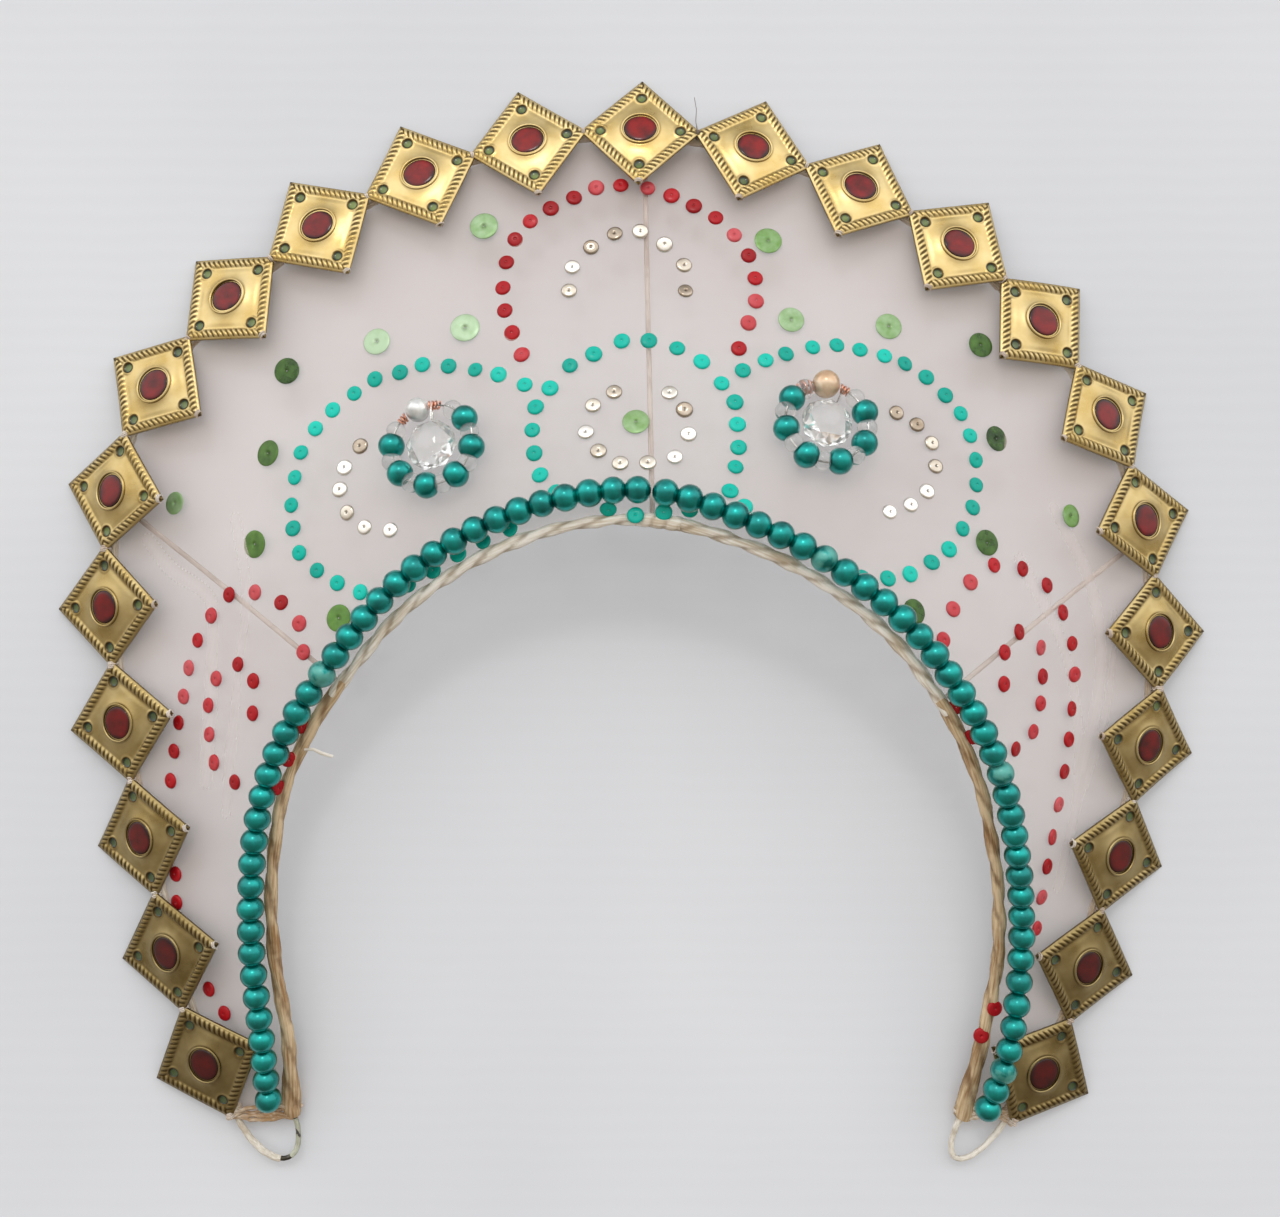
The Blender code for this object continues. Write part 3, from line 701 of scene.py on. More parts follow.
# The creases are not shaped; only how strongly their painted light and shade shows is kept, as fold.
folded = np.zeros(grid.shape[:2])
for strength, line in FOLDS:
    for x, y in smooth_line(line, 90):
        away = np.hypot(grid[..., 0] - x, grid[..., 1] - y)
        folded = np.maximum(folded, strength * np.exp(-((away / FOLD_WIDTH) ** 2)))
grid = grid + ripple[..., None] * sheet_normal(along + 0 * across, across)
columns = SHEET_ACROSS + 1
cells = [(i * columns + j, i * columns + j + 1) for i in range(SHEET_ALONG) for j in range(SHEET_ACROSS)]
faces = [(a, b, b + columns, a + columns) for a, b in cells]
organza = mesh_piece("organza_sheet", grid.reshape(-1, 3), faces, sheer_organza())
layer = organza.data.attributes.new("fold", "FLOAT", "POINT")
layer.data.foreach_set("value", folded.ravel())
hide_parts("membrane")
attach(organza, "root")

# The three braces under the sheet
# Each is a straight wire covered with grey paper, fixed to the outer and the inner
# wire, and holds the inner arch up.
BRACE_RADIUS = 0.6 * MM
BRACE_GAP = 0.8 * MM
BRACE_PLACES = {"spoke_left": 5.35, "spoke_centre": 11.50, "spoke_right": 17.65}
brace_wire = wound_cotton("paper_covered_wire", "#C6BEB8", "#A59B94", "#857B72")
for name, place in BRACE_PLACES.items():
    width = float(sheet_width(place))
    share = np.linspace((WIRE_RADIUS + BRACE_RADIUS) / width, 1 - (TAPE_RADIUS + BRACE_RADIUS) / width, 40)
    under = BRACE_RADIUS + BRACE_GAP
    path = sheet_point(place, share) - under * sheet_normal(place + 0 * share, share)
    brace = wind(name + "_wire", path, brace_wire, Radius=BRACE_RADIUS, Lumps=0.1 * MM)
    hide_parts(name)
    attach(brace, "root")

# The plaques, corner to corner along the outer arch
# Each is thin brass sheet, stamped with a rope border and a raised field, with four
# dimples of green enamel and an oval red stone held in a soldered collar.
PLAQUE_GRID = 84
PLAQUE_WALL = 0.7 * MM
BORDER = 2.5 * MM
RIM_FLAT = 0.3 * MM
ROPE_PITCH = 1.3 * MM
ROPE_HEIGHT = 0.55 * MM
ROPE_SLANT = 0.9
PILLOW_RISE = 0.35 * MM
CONE_RISE = 0.75 * MM
CONE_REACH = 1.8 * MM
DIMPLE_RADIUS = 1.25 * MM
DIMPLE_DEPTH = 0.5 * MM
DIMPLE_PLACES = ((0.67, 0.0), (-0.67, 0.0), (0.0, 0.64), (0.0, -0.64))
COLLAR_SIZE = (9.4 * MM, 8.7 * MM)
COLLAR_WIRE = 0.32 * MM
STONE_SIZE = (7.9 * MM, 7.1 * MM)
STONE_RISE = 0.5 * MM
CORNER_OVERLAP = 1.05
PLAQUE_BEND = 0.12 * MM
TARNISH_SIZE = 6.25 * MM
PIT_SIZE = 0.714 * MM
POOL_SIZE = 3.85 * MM
# The plaques are painted darker below this height, over this span, in metres: tarnish and painted shade.
DARKENING_FROM = 0.11
DARKENING_SPAN = 0.20


def stamped_brass():
    """Stamped, lacquered brass: bright where raised, dark brown in its hollows and at its corners as grime
    and painted shade, olive and darker towards the ends as tarnish and painted shade.
    """
    material, tree, shader = start_material("stamped_brass")
    place = add(tree, "ShaderNodeTexCoord").outputs["Object"]
    hollow = add(tree, "ShaderNodeAttribute", attribute_name="hollow").outputs["Fac"]
    age = add(tree, "ShaderNodeAttribute", attribute_name="age").outputs["Fac"]
    cloudy = add(tree, "ShaderNodeTexNoise", {"Vector": place, "Scale": 1 / TARNISH_SIZE, "Detail": 5.0})
    speck = add(tree, "ShaderNodeTexNoise", {"Vector": place, "Scale": 1 / PIT_SIZE, "Detail": 2.0})
    young = add(
        tree,
        "ShaderNodeValToRGB",
        {0: cloudy.outputs[0]},
        ramp=[(0.3, "#C3A666"), (0.7, "#E0CA94")],
    )
    # Towards the two ends the brass is painted olive and darker: partly tarnish, partly painted shade.
    aged_and_shaded = add(
        tree,
        "ShaderNodeValToRGB",
        {0: cloudy.outputs[0]},
        ramp=[(0.3, "#7C6A42"), (0.7, "#A08F66")],
    )
    metal = add(
        tree, "ShaderNodeMix", {0: age, 6: young.outputs[0], 7: aged_and_shaded.outputs[0]}, data_type="RGBA"
    )
    # The hollows and corners are painted dark brown: partly grime, partly painted shade.
    darkening = add(tree, "ShaderNodeMath", {0: hollow, 1: cloudy.outputs[0]}, operation="MULTIPLY")
    darkening = add(tree, "ShaderNodeMapRange", {0: darkening.outputs[0], 1: 0.06, 2: 0.40, 3: 0.0, 4: 0.92})
    colour = add(
        tree,
        "ShaderNodeMix",
        {0: darkening.outputs[0], 6: metal.outputs[2], 7: linear("#46351A")},
        data_type="RGBA",
    )
    rough = add(tree, "ShaderNodeMapRange", {0: cloudy.outputs[0], 1: 0.3, 2: 0.7, 3: 0.24, 4: 0.38})
    bump = add(tree, "ShaderNodeBump", {"Strength": 0.15, "Distance": 0.0001, "Height": speck.outputs[0]})
    tree.links.new(colour.outputs[2], shader.inputs["Base Color"])
    tree.links.new(rough.outputs[0], shader.inputs["Roughness"])
    tree.links.new(bump.outputs[0], shader.inputs["Normal"])
    shader.inputs["Metallic"].default_value = 1.0
    return material


def fired_enamel(name, shallow, deep, roughness, coat):
    """Enamel or glass over foil: deep colour with a wet gloss, painted deeper towards its rim as painted
    shade, and towards the ends as age and painted shade.
    """
    material, tree, shader = start_material(name)
    place = add(tree, "ShaderNodeTexCoord").outputs["Object"]
    edge = add(tree, "ShaderNodeAttribute", attribute_name="hollow").outputs["Fac"]
    pooled = add(tree, "ShaderNodeTexNoise", {"Vector": place, "Scale": 1 / POOL_SIZE, "Detail": 3.0})
    # Depth falls towards the rim, so each stone and dimple gets painted shade at its edge.
    depth = add(tree, "ShaderNodeMath", {0: edge, 1: -0.6, 2: pooled.outputs[0]}, operation="MULTIPLY_ADD")
    tint = add(
        tree,
        "ShaderNodeValToRGB",
        {0: depth.outputs[0]},
        ramp=[(0.15, deep), (0.6, shallow)],
    )
    # Towards the two ends the colour is painted deeper: partly age, partly painted shade.
    age = add(tree, "ShaderNodeAttribute", attribute_name="age").outputs["Fac"]
    dulled_and_shaded = add(tree, "ShaderNodeMath", {0: age, 1: 0.75}, operation="MULTIPLY").outputs[0]
    colour = add(
        tree, "ShaderNodeMix", {0: dulled_and_shaded, 6: tint.outputs[0], 7: linear(deep)}, data_type="RGBA"
    )
    tree.links.new(colour.outputs[2], shader.inputs["Base Color"])
    shader.inputs["Roughness"].default_value = roughness
    shader.inputs["Specular IOR Level"].default_value = 0.3
    shader.inputs["Coat Weight"].default_value = coat
    shader.inputs["Coat Roughness"].default_value = 0.08
    return material


def node_points(node):
    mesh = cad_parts[node].data
    points = np.empty(len(mesh.vertices) * 3)
    mesh.vertices.foreach_get("co", points)
    return np.unique(np.round(points.reshape(-1, 3), 7), axis=0)


def plaque_axes(node):
    """The middle of the back of a plaque, and its half diagonals along and across the rim."""
    points = node_points(node)
    away = points - (points.min(axis=0) + points.max(axis=0)) / 2
    first = points[np.argmax(np.linalg.norm(away, axis=1))]
    second = points[np.argmax(np.linalg.norm(points - first, axis=1))]
    middle = (first + second) / 2
    outward = (first - second) / 2
    beside = np.linalg.norm(np.cross(points - middle, unit(outward)), axis=1)
    third = points[np.argmax(beside)]
    ahead = third - middle
    ahead = ahead - unit(outward) * ahead.dot(unit(outward))
    outward = outward * np.sign(outward.dot(middle * np.array([1, 1, 0])))
    facing = unit(np.cross(ahead, outward))
    if facing[2] < 0:
        ahead, facing = -ahead, -facing
    return middle, ahead, outward, facing


def touching_axes(nodes):
    """The axes of all the plaques, each drawn out until its corners touch its neighbours'."""
    axes = [plaque_axes(node) for node in nodes]
    tips = []
    for before, after in zip(axes[:-1], axes[1:]):
        near = [
            min((item[0] + item[1], item[0] - item[1]), key=lambda tip: np.linalg.norm(tip - other[0]))
            for item, other in ((before, after), (after, before))
        ]
        tips.append((near[0] + near[1]) / 2)
    first = 2 * axes[0][0] - tips[0]
    last = 2 * axes[-1][0] - tips[-1]
    tips = [first] + tips + [last]
    drawn = []
    for (middle, ahead, outward, facing), before, after in zip(axes, tips[:-1], tips[1:]):
        longer = (after - before) / 2 * CORNER_OVERLAP
        growth = np.linalg.norm(longer) / np.linalg.norm(ahead)
        outward = outward - unit(longer) * outward.dot(unit(longer))
        facing = unit(np.cross(longer, outward))
        facing, longer = (facing, longer) if facing[2] > 0 else (-facing, -longer)
        drawn.append(((before + after) / 2, longer, outward * (1 + (growth - 1) / 2), facing))
    return drawn, tips


def smooth_step(low, high, value):
    t = np.clip((value - low) / (high - low), 0, 1)
    return t * t * (3 - 2 * t)


def stamped_height(s, t, ahead, outward):
    """Height of the stamped face, and how dark each point is painted, as grime and painted shade."""
    side = math.hypot(ahead, outward)
    x = ahead * (s - t) / 2
    y = outward * (s + t) / 2
    reach = 2 * ahead * outward / side / 2
    from_edge = (1 - np.maximum(np.abs(s), np.abs(t))) * reach
    run = np.where(np.abs(s) > np.abs(t), t * np.sign(s), -s * np.sign(t)) * side / 2
    inside = np.clip((from_edge - RIM_FLAT) / (BORDER - RIM_FLAT), 0, 1)
    band = np.sin(math.pi * inside).clip(0, 1) ** np.where(inside < 0.5, 0.5, 1.0)
    strand = np.sqrt(np.abs(np.sin(math.pi * (run / ROPE_PITCH + inside * ROPE_SLANT))))
    rope = ROPE_HEIGHT * band * (0.2 + 0.8 * strand)
    pillow = PILLOW_RISE * (1 - s * s) * (1 - t * t)
    from_collar = (np.hypot(x / COLLAR_SIZE[0], y / COLLAR_SIZE[1]) * 2 - 1) * COLLAR_SIZE[1] / 2
    cone = CONE_RISE * np.exp(-np.maximum(from_collar, 0) / CONE_REACH)
    height = rope + pillow + cone * smooth_step(BORDER * 0.9, BORDER * 1.5, from_edge)
    # Grooves, the border's inner edge, the collar's foot, the corners and the dimples' rims are painted
    # darker: partly grime, partly painted shade.
    hollow = 2.4 * band * (1 - strand) + 0.12 * np.exp(-(((from_edge - BORDER) / (0.3 * MM)) ** 2))
    hollow = hollow + 0.35 * np.exp(-((from_collar / (0.3 * MM)) ** 2))
    hollow = hollow + 0.9 * smooth_step(0.88, 1.0, np.minimum(np.abs(s), np.abs(t)))
    for along_share, across_share in DIMPLE_PLACES:
        away = np.hypot(x - along_share * ahead, y - across_share * outward)
        flat = 1 - smooth_step(1.1 * DIMPLE_RADIUS, 1.5 * DIMPLE_RADIUS, away)
        dent = 1 - smooth_step(0.6 * DIMPLE_RADIUS, 1.05 * DIMPLE_RADIUS, away)
        lip = np.exp(-(((away - 1.15 * DIMPLE_RADIUS) / (0.25 * MM)) ** 2))
        height = height * (1 - flat) + 0.25 * MM * flat - DIMPLE_DEPTH * dent + 0.14 * MM * lip
        hollow = np.maximum(hollow * (1 - flat), np.exp(-(((away - 0.9 * DIMPLE_RADIUS) / (0.3 * MM)) ** 2)))
    return x, y, height, hollow.clip(0, 1)


def ring_faces(first, second, sides):
    return [(first + i, first + (i + 1) % sides, second + (i + 1) % sides, second + i) for i in range(sides)]


def oval_rings(rows, sides):
    """Rings of points from rows of half length, half breadth and height, middle last."""
    turns = np.linspace(0, 2 * math.pi, sides, endpoint=False)
    points = [(a * math.cos(t), b * math.sin(t), h) for a, b, h in rows for t in turns]
    faces = []
    for k in range(len(rows) - 1):
        faces += ring_faces(k * sides, (k + 1) * sides, sides)
    return points, faces


def build_plaque(node, number, axes, brass, stone, enamel):
    middle, ahead, outward, facing = axes
    ahead_length, outward_length = np.linalg.norm(ahead), np.linalg.norm(outward)
    dice = np.random.default_rng(40 + number)
    ticks = np.linspace(-1, 1, PLAQUE_GRID + 1)
    s, t = np.meshgrid(ticks, ticks, indexing="ij")
    x, y, height, hollow = stamped_height(s, t, ahead_length, outward_length)
    bend = dice.normal(0, PLAQUE_BEND, 4)

    def warp(s, t):
        return bend[0] * s * t + bend[1] * s * s + bend[2] * t * t + bend[3] * s

    height = height + PLAQUE_WALL + warp(s, t)
    count = PLAQUE_GRID + 1
    points = np.stack([x, y, height], axis=-1).reshape(-1, 3).tolist()
    faces, kinds = [], []
    for i in range(PLAQUE_GRID):
        for j in range(PLAQUE_GRID):
            a = i * count + j
            faces.append((a, a + count, a + count + 1, a + 1))
    edge = [i * count for i in range(count)]
    edge += [PLAQUE_GRID * count + j for j in range(1, count)]
    edge += [i * count + PLAQUE_GRID for i in range(PLAQUE_GRID - 1, -1, -1)]
    edge += [j for j in range(PLAQUE_GRID - 1, 0, -1)]
    first = len(points)
    points += [(points[i][0], points[i][1], points[i][2] - PLAQUE_WALL * 0.9) for i in edge]
    for k in range(len(edge)):
        k_next = (k + 1) % len(edge)
        faces.append((edge[k_next], edge[k], first + k, first + k_next))
    faces.append(tuple(reversed(range(first, first + len(edge)))))
    kinds += [0] * len(faces)
    hollows = hollow.reshape(-1).tolist() + [0.6] * len(edge)

    # marking gives each row's painted darkness: painted shade, with some grime on the brass
    def add_rings(rows, sides, kind, marking, shift=(0.0, 0.0), lid=True):
        more, more_faces = oval_rings(rows, sides)
        if lid:
            more_faces.append(tuple(range((len(rows) - 1) * sides, len(rows) * sides)))
        base = len(points)
        points.extend((px + shift[0], py + shift[1], pz) for px, py, pz in more)
        faces.extend(tuple(base + i for i in face) for face in more_faces)
        kinds.extend([kind] * len(more_faces))
        hollows.extend(value for value in marking for _ in range(sides))

    top = PLAQUE_WALL + PILLOW_RISE * 0.8 + CONE_RISE
    a, b = COLLAR_SIZE[0] / 2 - COLLAR_WIRE, COLLAR_SIZE[1] / 2 - COLLAR_WIRE
    lean = np.linspace(-0.3, math.pi + 0.2, 9)
    rows = [
        (a + COLLAR_WIRE * math.cos(v), b + COLLAR_WIRE * math.cos(v), top + COLLAR_WIRE * 1.5 * math.sin(v))
        for v in lean
    ]
    # the collar is painted dark at its foot, most on the side by the stone, as painted shade
    add_rings(rows, 40, 0, [0.4, 0.2, 0.0, 0.0, 0.0, 0.0, 0.3, 0.9, 1.0], lid=False)

    a, b = STONE_SIZE[0] / 2, STONE_SIZE[1] / 2
    rise = (0.1, 0.55, 0.80, 0.92, 0.97, 1.0)
    spread = (1.0, 0.97, 0.90, 0.72, 0.45, 0.06)
    rows = [(a * w, b * w, top - 0.2 * MM + STONE_RISE * r) for w, r in zip(spread, rise)]
    # the stone is painted darker towards its rim, as painted shade
    add_rings(rows, 40, 1, [1.0, 0.8, 0.45, 0.1, 0.0, 0.0])

    for along_share, across_share in DIMPLE_PLACES:
        bed = PLAQUE_WALL + 0.25 * MM - DIMPLE_DEPTH + 0.12 * MM
        bed += warp(across_share + along_share, across_share - along_share)
        rows = [(1.0, 0.34), (0.85, 0.18), (0.5, 0.05), (0.08, 0.0)]
        rows = [(w * DIMPLE_RADIUS, w * DIMPLE_RADIUS, bed + h * MM) for w, h in rows]
        shift = (along_share * ahead_length, across_share * outward_length)
        # each dimple's enamel is painted darker at its rim, as painted shade
        add_rings(rows, 16, 2, [1.0, 0.7, 0.1, 0.0], shift)

    points = np.array(points)
    placed = middle + points @ np.array([unit(ahead), unit(outward), facing])
    placed[:, 2] = np.maximum(placed[:, 2], 0.0)
    piece = mesh_piece(f"stamped_{node}", placed, faces, brass, stone, enamel)
    piece.data.polygons.foreach_set("material_index", kinds)
    layer = piece.data.attributes.new("hollow", "FLOAT", "POINT")
    layer.data.foreach_set("value", hollows)
    # The plaques are painted darker the nearer they are to the two ends: partly tarnish, partly painted
    # shade for the darker room they reflect.
    age = float(np.clip((DARKENING_FROM - middle[1]) / DARKENING_SPAN, 0, 1))
    layer = piece.data.attributes.new("age", "FLOAT", "POINT")
    layer.data.foreach_set("value", [age] * len(points))
    return piece


brass = stamped_brass()
ruby = fired_enamel("red_glass_stone", "#8C0B0A", "#280404", 0.16, 0.2)
green = fired_enamel("green_enamel", "#788A40", "#10281C", 0.25, 0.6)
PLAQUES = sorted(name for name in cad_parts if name.startswith("plaque_"))
PLAQUE_AXES, TIPS = touching_axes(PLAQUES)
for number, node in enumerate(PLAQUES):
    plaque = build_plaque(node, number, PLAQUE_AXES[number], brass, ruby, green)
    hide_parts(node)
    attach(plaque, "root")

# The stitches that hold the plaques
# Pale cotton thread is wound a few times round each pair of touching corners, and holds
# each inner corner to the sheet. One knot is of dark waxed thread, with a stray end.
THREAD_RADIUS = 0.22 * MM
TURN_PITCH = 0.4 * MM
POINTS_PER_TURN = 14
JOINT_TURNS = 2
JOINT_REACH = (0.7 * MM, 1.3 * MM)
CORNER_TURNS = 3
CORNER_LENGTH = 1.0 * MM
CORNER_REACH = (0.85 * MM, 0.7 * MM)
DARK_KNOT = 12
STRAY_END = ((0, 0, 1.6), (-0.4, 2.6, 1.3), (-0.2, 5.7, 0.4), (-0.7, 8.6, 0.2))


def stitch_loops(centre, axis, up, turns, length, wide, high, dice):
    """Uneven turns of thread round an axis, as points of one path."""
    beside = unit(np.cross(up, axis))
    count = turns * POINTS_PER_TURN
    at = np.linspace(0, 1, count)
    sway = np.interp(at, np.linspace(0, 1, turns * 2), dice.uniform(0.75, 1.2, turns * 2))
    angle = at * turns * 2 * math.pi
    points = centre + axis * ((at - 0.5) * length)[:, None]
    points = points + beside * (np.cos(angle) * wide * sway)[:, None]
    return points + up * (np.sin(angle) * high * sway)[:, None]


dice = np.random.default_rng(3)
joint_loops, corner_loops = [], []
for place, tip in enumerate(TIPS):
    _, ahead, _, facing = PLAQUE_AXES[min(place, len(PLAQUE_AXES) - 1)]
    turns = JOINT_TURNS if 7 < place < 16 else JOINT_TURNS + int(dice.integers(1, 3))
    length = turns * TURN_PITCH
    joint_loops.append(stitch_loops(tip, unit(ahead), facing, turns, length, *JOINT_REACH, dice))
for middle, _, outward, facing in PLAQUE_AXES:
    point = middle - outward * 0.94 + facing * 0.4 * MM
    loops = stitch_loops(
        point, unit(outward), facing, CORNER_TURNS, CORNER_LENGTH, *CORNER_REACH, dice
    )
    corner_loops.append(loops)
dark_knot = joint_loops.pop(DARK_KNOT)
stray = TIPS[DARK_KNOT] + np.array(STRAY_END) * MM
stray = points_along(stray, np.linspace(0, lengths_of(stray)[-1], 30))
pale_thread = wound_cotton("pale_sewing_thread", "#EFE6DC", "#C6B19F", "#93796A", 4 * MM)
grey_thread = wound_cotton("grey_waxed_thread", "#8D7F73", "#6A5C50", "#463A30", 4 * MM)
for name, loops, thread, radius in (
    ("joint_stitches", joint_loops, pale_thread, THREAD_RADIUS),
    ("corner_stitches", corner_loops, pale_thread, 0.8 * THREAD_RADIUS),
    ("dark_knot", dark_knot, grey_thread, 1.2 * THREAD_RADIUS),
    ("stray_thread_end", stray, grey_thread, 0.4 * THREAD_RADIUS),
):
    stitches = wind(name, loops, thread, Radius=radius, Step=0.35 * MM, Lumps=0.1 * MM, Sides=6)
    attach(stitches, "root")

# The rough hems at the two ends
# The cut ends of the sheet are rolled under the last plaque and whipped to the
# wire with thick cotton, which has frayed and gone brown.
HEM_STRANDS = 5
HEM_BUNDLES = 2
HEM_WANDER = 0.16 * MM
HEM_FLOOR = 0.9 * MM
hem_cotton = wound_cotton("frayed_cotton_hem", "#E6DACA", "#B08D66", "#7B5838", 2.5 * MM)
for side, end, before in (("left", 0.0, 0.35), ("right", LAST_JOINT, LAST_JOINT - 0.35)):
    outer, inner = rim_point("outer", end), rim_point("inner", end)
    onward = unit(outer - rim_point("outer", before))
    dice = np.random.default_rng(8 if side == "left" else 9)
    strands = []
    for _ in range(HEM_STRANDS):
        share = np.linspace(-0.05, 1.05, 24)[:, None]
        wander = np.cumsum(dice.normal(0, HEM_WANDER, (24, 3)), axis=0)
        strand = outer + (inner - outer) * share + onward * (dice.uniform(-1.6, 1.2) * MM)
        strands.append(strand + wander + np.array([0, 0, dice.uniform(0.0, 1.0) * MM]))
    for centre in (outer, inner):
        for _ in range(HEM_BUNDLES):
            turn_centre = centre + onward * dice.uniform(-1.2, 0.6) * MM
            upright = np.array([0, 0, 1.0])
            loops = stitch_loops(turn_centre, onward, upright, 3, 2.5 * MM, 1.7 * MM, 1.3 * MM, dice)
            strands.append(loops)
    for strand in strands:
        strand[:, 2] = np.maximum(strand[:, 2], HEM_FLOOR)
    hem = wind(f"{side}_hem", strands, hem_cotton, Radius=0.5 * MM, Step=0.4 * MM, Lumps=0.35 * MM, Sides=9)
    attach(hem, "root")

# The pearl beads beside the inner arch
# They are plastic pearls with a green pearl lacquer, threaded on two strings that
# meet at the top of the arch. The lacquer is worn dull on a few of them.
BEAD_RADIUS = 3.0 * MM
BEAD_PITCH = 5.24 * MM
BEAD_LIFT = 0.6 * MM
STRING_GAP = 0.4 * MM
STRING_END = 1.5 * MM
SHEET_WALL = 1.0 * MM
CLEARANCE = 0.3 * MM
WORN_SIZE = 3.33 * MM
ORANGE_PEEL_SIZE = 0.385 * MM


def copies_tree():
    """Sets out copies of a small shape on points that carry a turn, a size and a tone."""
    tree = bpy.data.node_groups.new("set_out", "GeometryNodeTree")
    face = tree.interface
    face.new_socket("Points", in_out="INPUT", socket_type="NodeSocketGeometry")
    face.new_socket("Shape", in_out="INPUT", socket_type="NodeSocketObject")
    face.new_socket("Material", in_out="INPUT", socket_type="NodeSocketMaterial")
    face.new_socket("Piece", in_out="OUTPUT", socket_type="NodeSocketGeometry")
    given = add(tree, "NodeGroupInput").outputs
    shape = add(tree, "GeometryNodeObjectInfo", {"Object": given["Shape"]}).outputs["Geometry"]
    turn = add(tree, "GeometryNodeInputNamedAttribute", {"Name": "turn"}, data_type="FLOAT_VECTOR")
    turn = add(tree, "FunctionNodeEulerToRotation", {0: turn.outputs[0]})
    size = add(tree, "GeometryNodeInputNamedAttribute", {"Name": "size"}, data_type="FLOAT_VECTOR")
    copies = add(
        tree,
        "GeometryNodeInstanceOnPoints",
        {
            "Points": given["Points"],
            "Instance": shape,
            "Rotation": turn.outputs[0],
            "Scale": size.outputs[0],
        },
    )
    joined = add(tree, "GeometryNodeRealizeInstances", {0: copies.outputs[0]})
    joined = add(tree, "GeometryNodeSetMaterial", {0: joined.outputs[0], "Material": given["Material"]})
    add(tree, "NodeGroupOutput", {0: joined.outputs[0]})
    return tree


COPIES = copies_tree()


def set_out(name, shape, material, places):
    """Places are rows of centre, x axis, z axis, size and tone."""
    mesh = bpy.data.meshes.new(name + "_points")
    mesh.from_pydata([tuple(map(float, row[0])) for row in places], [], [])
    turns, sizes, tones = [], [], []
    for _, x_axis, z_axis, size, tone in places:
        z = Vector(z_axis).normalized()
        y = z.cross(Vector(x_axis)).normalized()
        x = y.cross(z)
        turns.append(Matrix((x, y, z)).transposed().to_euler())
        sizes.append(size if hasattr(size, "__len__") else (size,) * 3)
        tones.append(tone)
    for label, values in (("turn", turns), ("size", sizes)):
        layer = mesh.attributes.new(label, "FLOAT_VECTOR", "POINT")
        layer.data.foreach_set("vector", np.array([tuple(v) for v in values], float).ravel())
    layer = mesh.attributes.new("tone", "FLOAT", "POINT")
    layer.data.foreach_set("value", np.array(tones, float))
    guide = bpy.data.objects.new(name + "_points", mesh)
    scene.collection.objects.link(guide)
    return made_by(COPIES, guide, name, {"Shape": shape, "Material": material})


def turned_shape(name, rows, sides):
    """A round shape from rows of radius and height, bottom first, closed at both ends."""
    points, faces = oval_rings([(r, r, h) for r, h in rows], sides)
    faces.append(tuple(reversed(range(sides))))
    faces.append(tuple(range((len(rows) - 1) * sides, len(rows) * sides)))
    return mesh_piece(name, points, faces)


def pearl_shape():
    """A pearl of radius 1 whose hole, a small dimple, runs along its z axis."""
    rows = [(0.10, -0.80), (0.16, -0.94)]
    for lean in np.linspace(-78, 78, 15):
        rows.append((math.cos(math.radians(lean)), math.sin(math.radians(lean)) * 0.97))
    rows += [(0.16, 0.94), (0.10, 0.80)]
    return turned_shape("pearl_shape", rows, 24)


def pearl_lacquer(name, deep, bright, marking, metallic=0.35, roughness=0.30):
    """Pearl lacquer on plastic: a soft metallic glow under a thin clear gloss, worn dull in places."""
    material, tree, shader = start_material(name)
    place = add(tree, "ShaderNodeTexCoord").outputs["Object"]
    tone = add(tree, "ShaderNodeAttribute", attribute_name="tone").outputs["Fac"]
    cloudy = add(tree, "ShaderNodeTexNoise", {"Vector": place, "Scale": 1 / WORN_SIZE, "Detail": 4.0})
    fine = add(tree, "ShaderNodeTexNoise", {"Vector": place, "Scale": 1 / ORANGE_PEEL_SIZE, "Detail": 2.0})
    body = add(
        tree,
        "ShaderNodeValToRGB",
        {0: cloudy.outputs[0]},
        ramp=[(0.35, deep), (0.65, bright)],
    )
    wear = add(tree, "ShaderNodeMath", {0: tone, 1: cloudy.outputs[0]}, operation="MULTIPLY")
    wear = add(tree, "ShaderNodeMapRange", {0: wear.outputs[0], 1: 0.40, 2: 0.55})
    colour = add(
        tree,
        "ShaderNodeMix",
        {0: wear.outputs[0], 6: body.outputs[0], 7: linear(marking)},
        data_type="RGBA",
    )
    dull = add(tree, "ShaderNodeMapRange", {0: wear.outputs[0], 3: roughness, 4: 0.6})
    bump = add(tree, "ShaderNodeBump", {"Strength": 0.04, "Distance": 0.0001, "Height": fine.outputs[0]})
    tree.links.new(colour.outputs[2], shader.inputs["Base Color"])
    tree.links.new(dull.outputs[0], shader.inputs["Roughness"])
    tree.links.new(bump.outputs[0], shader.inputs["Normal"])
    shader.inputs["Metallic"].default_value = metallic
    shader.inputs["Coat Weight"].default_value = 0.5
    shader.inputs["Coat Roughness"].default_value = 0.16
    return material


def bead_line(along):
    out = column("bead_out", along) * BEAD_RADIUS
    share = 1 - out / sheet_width(along)
    lift = SHEET_WALL / 2 + CLEARANCE + BEAD_LIFT + BEAD_RADIUS * (1 + column("bead_up", along))
    return sheet_point(along, share) + lift[..., None] * sheet_normal(along, share)


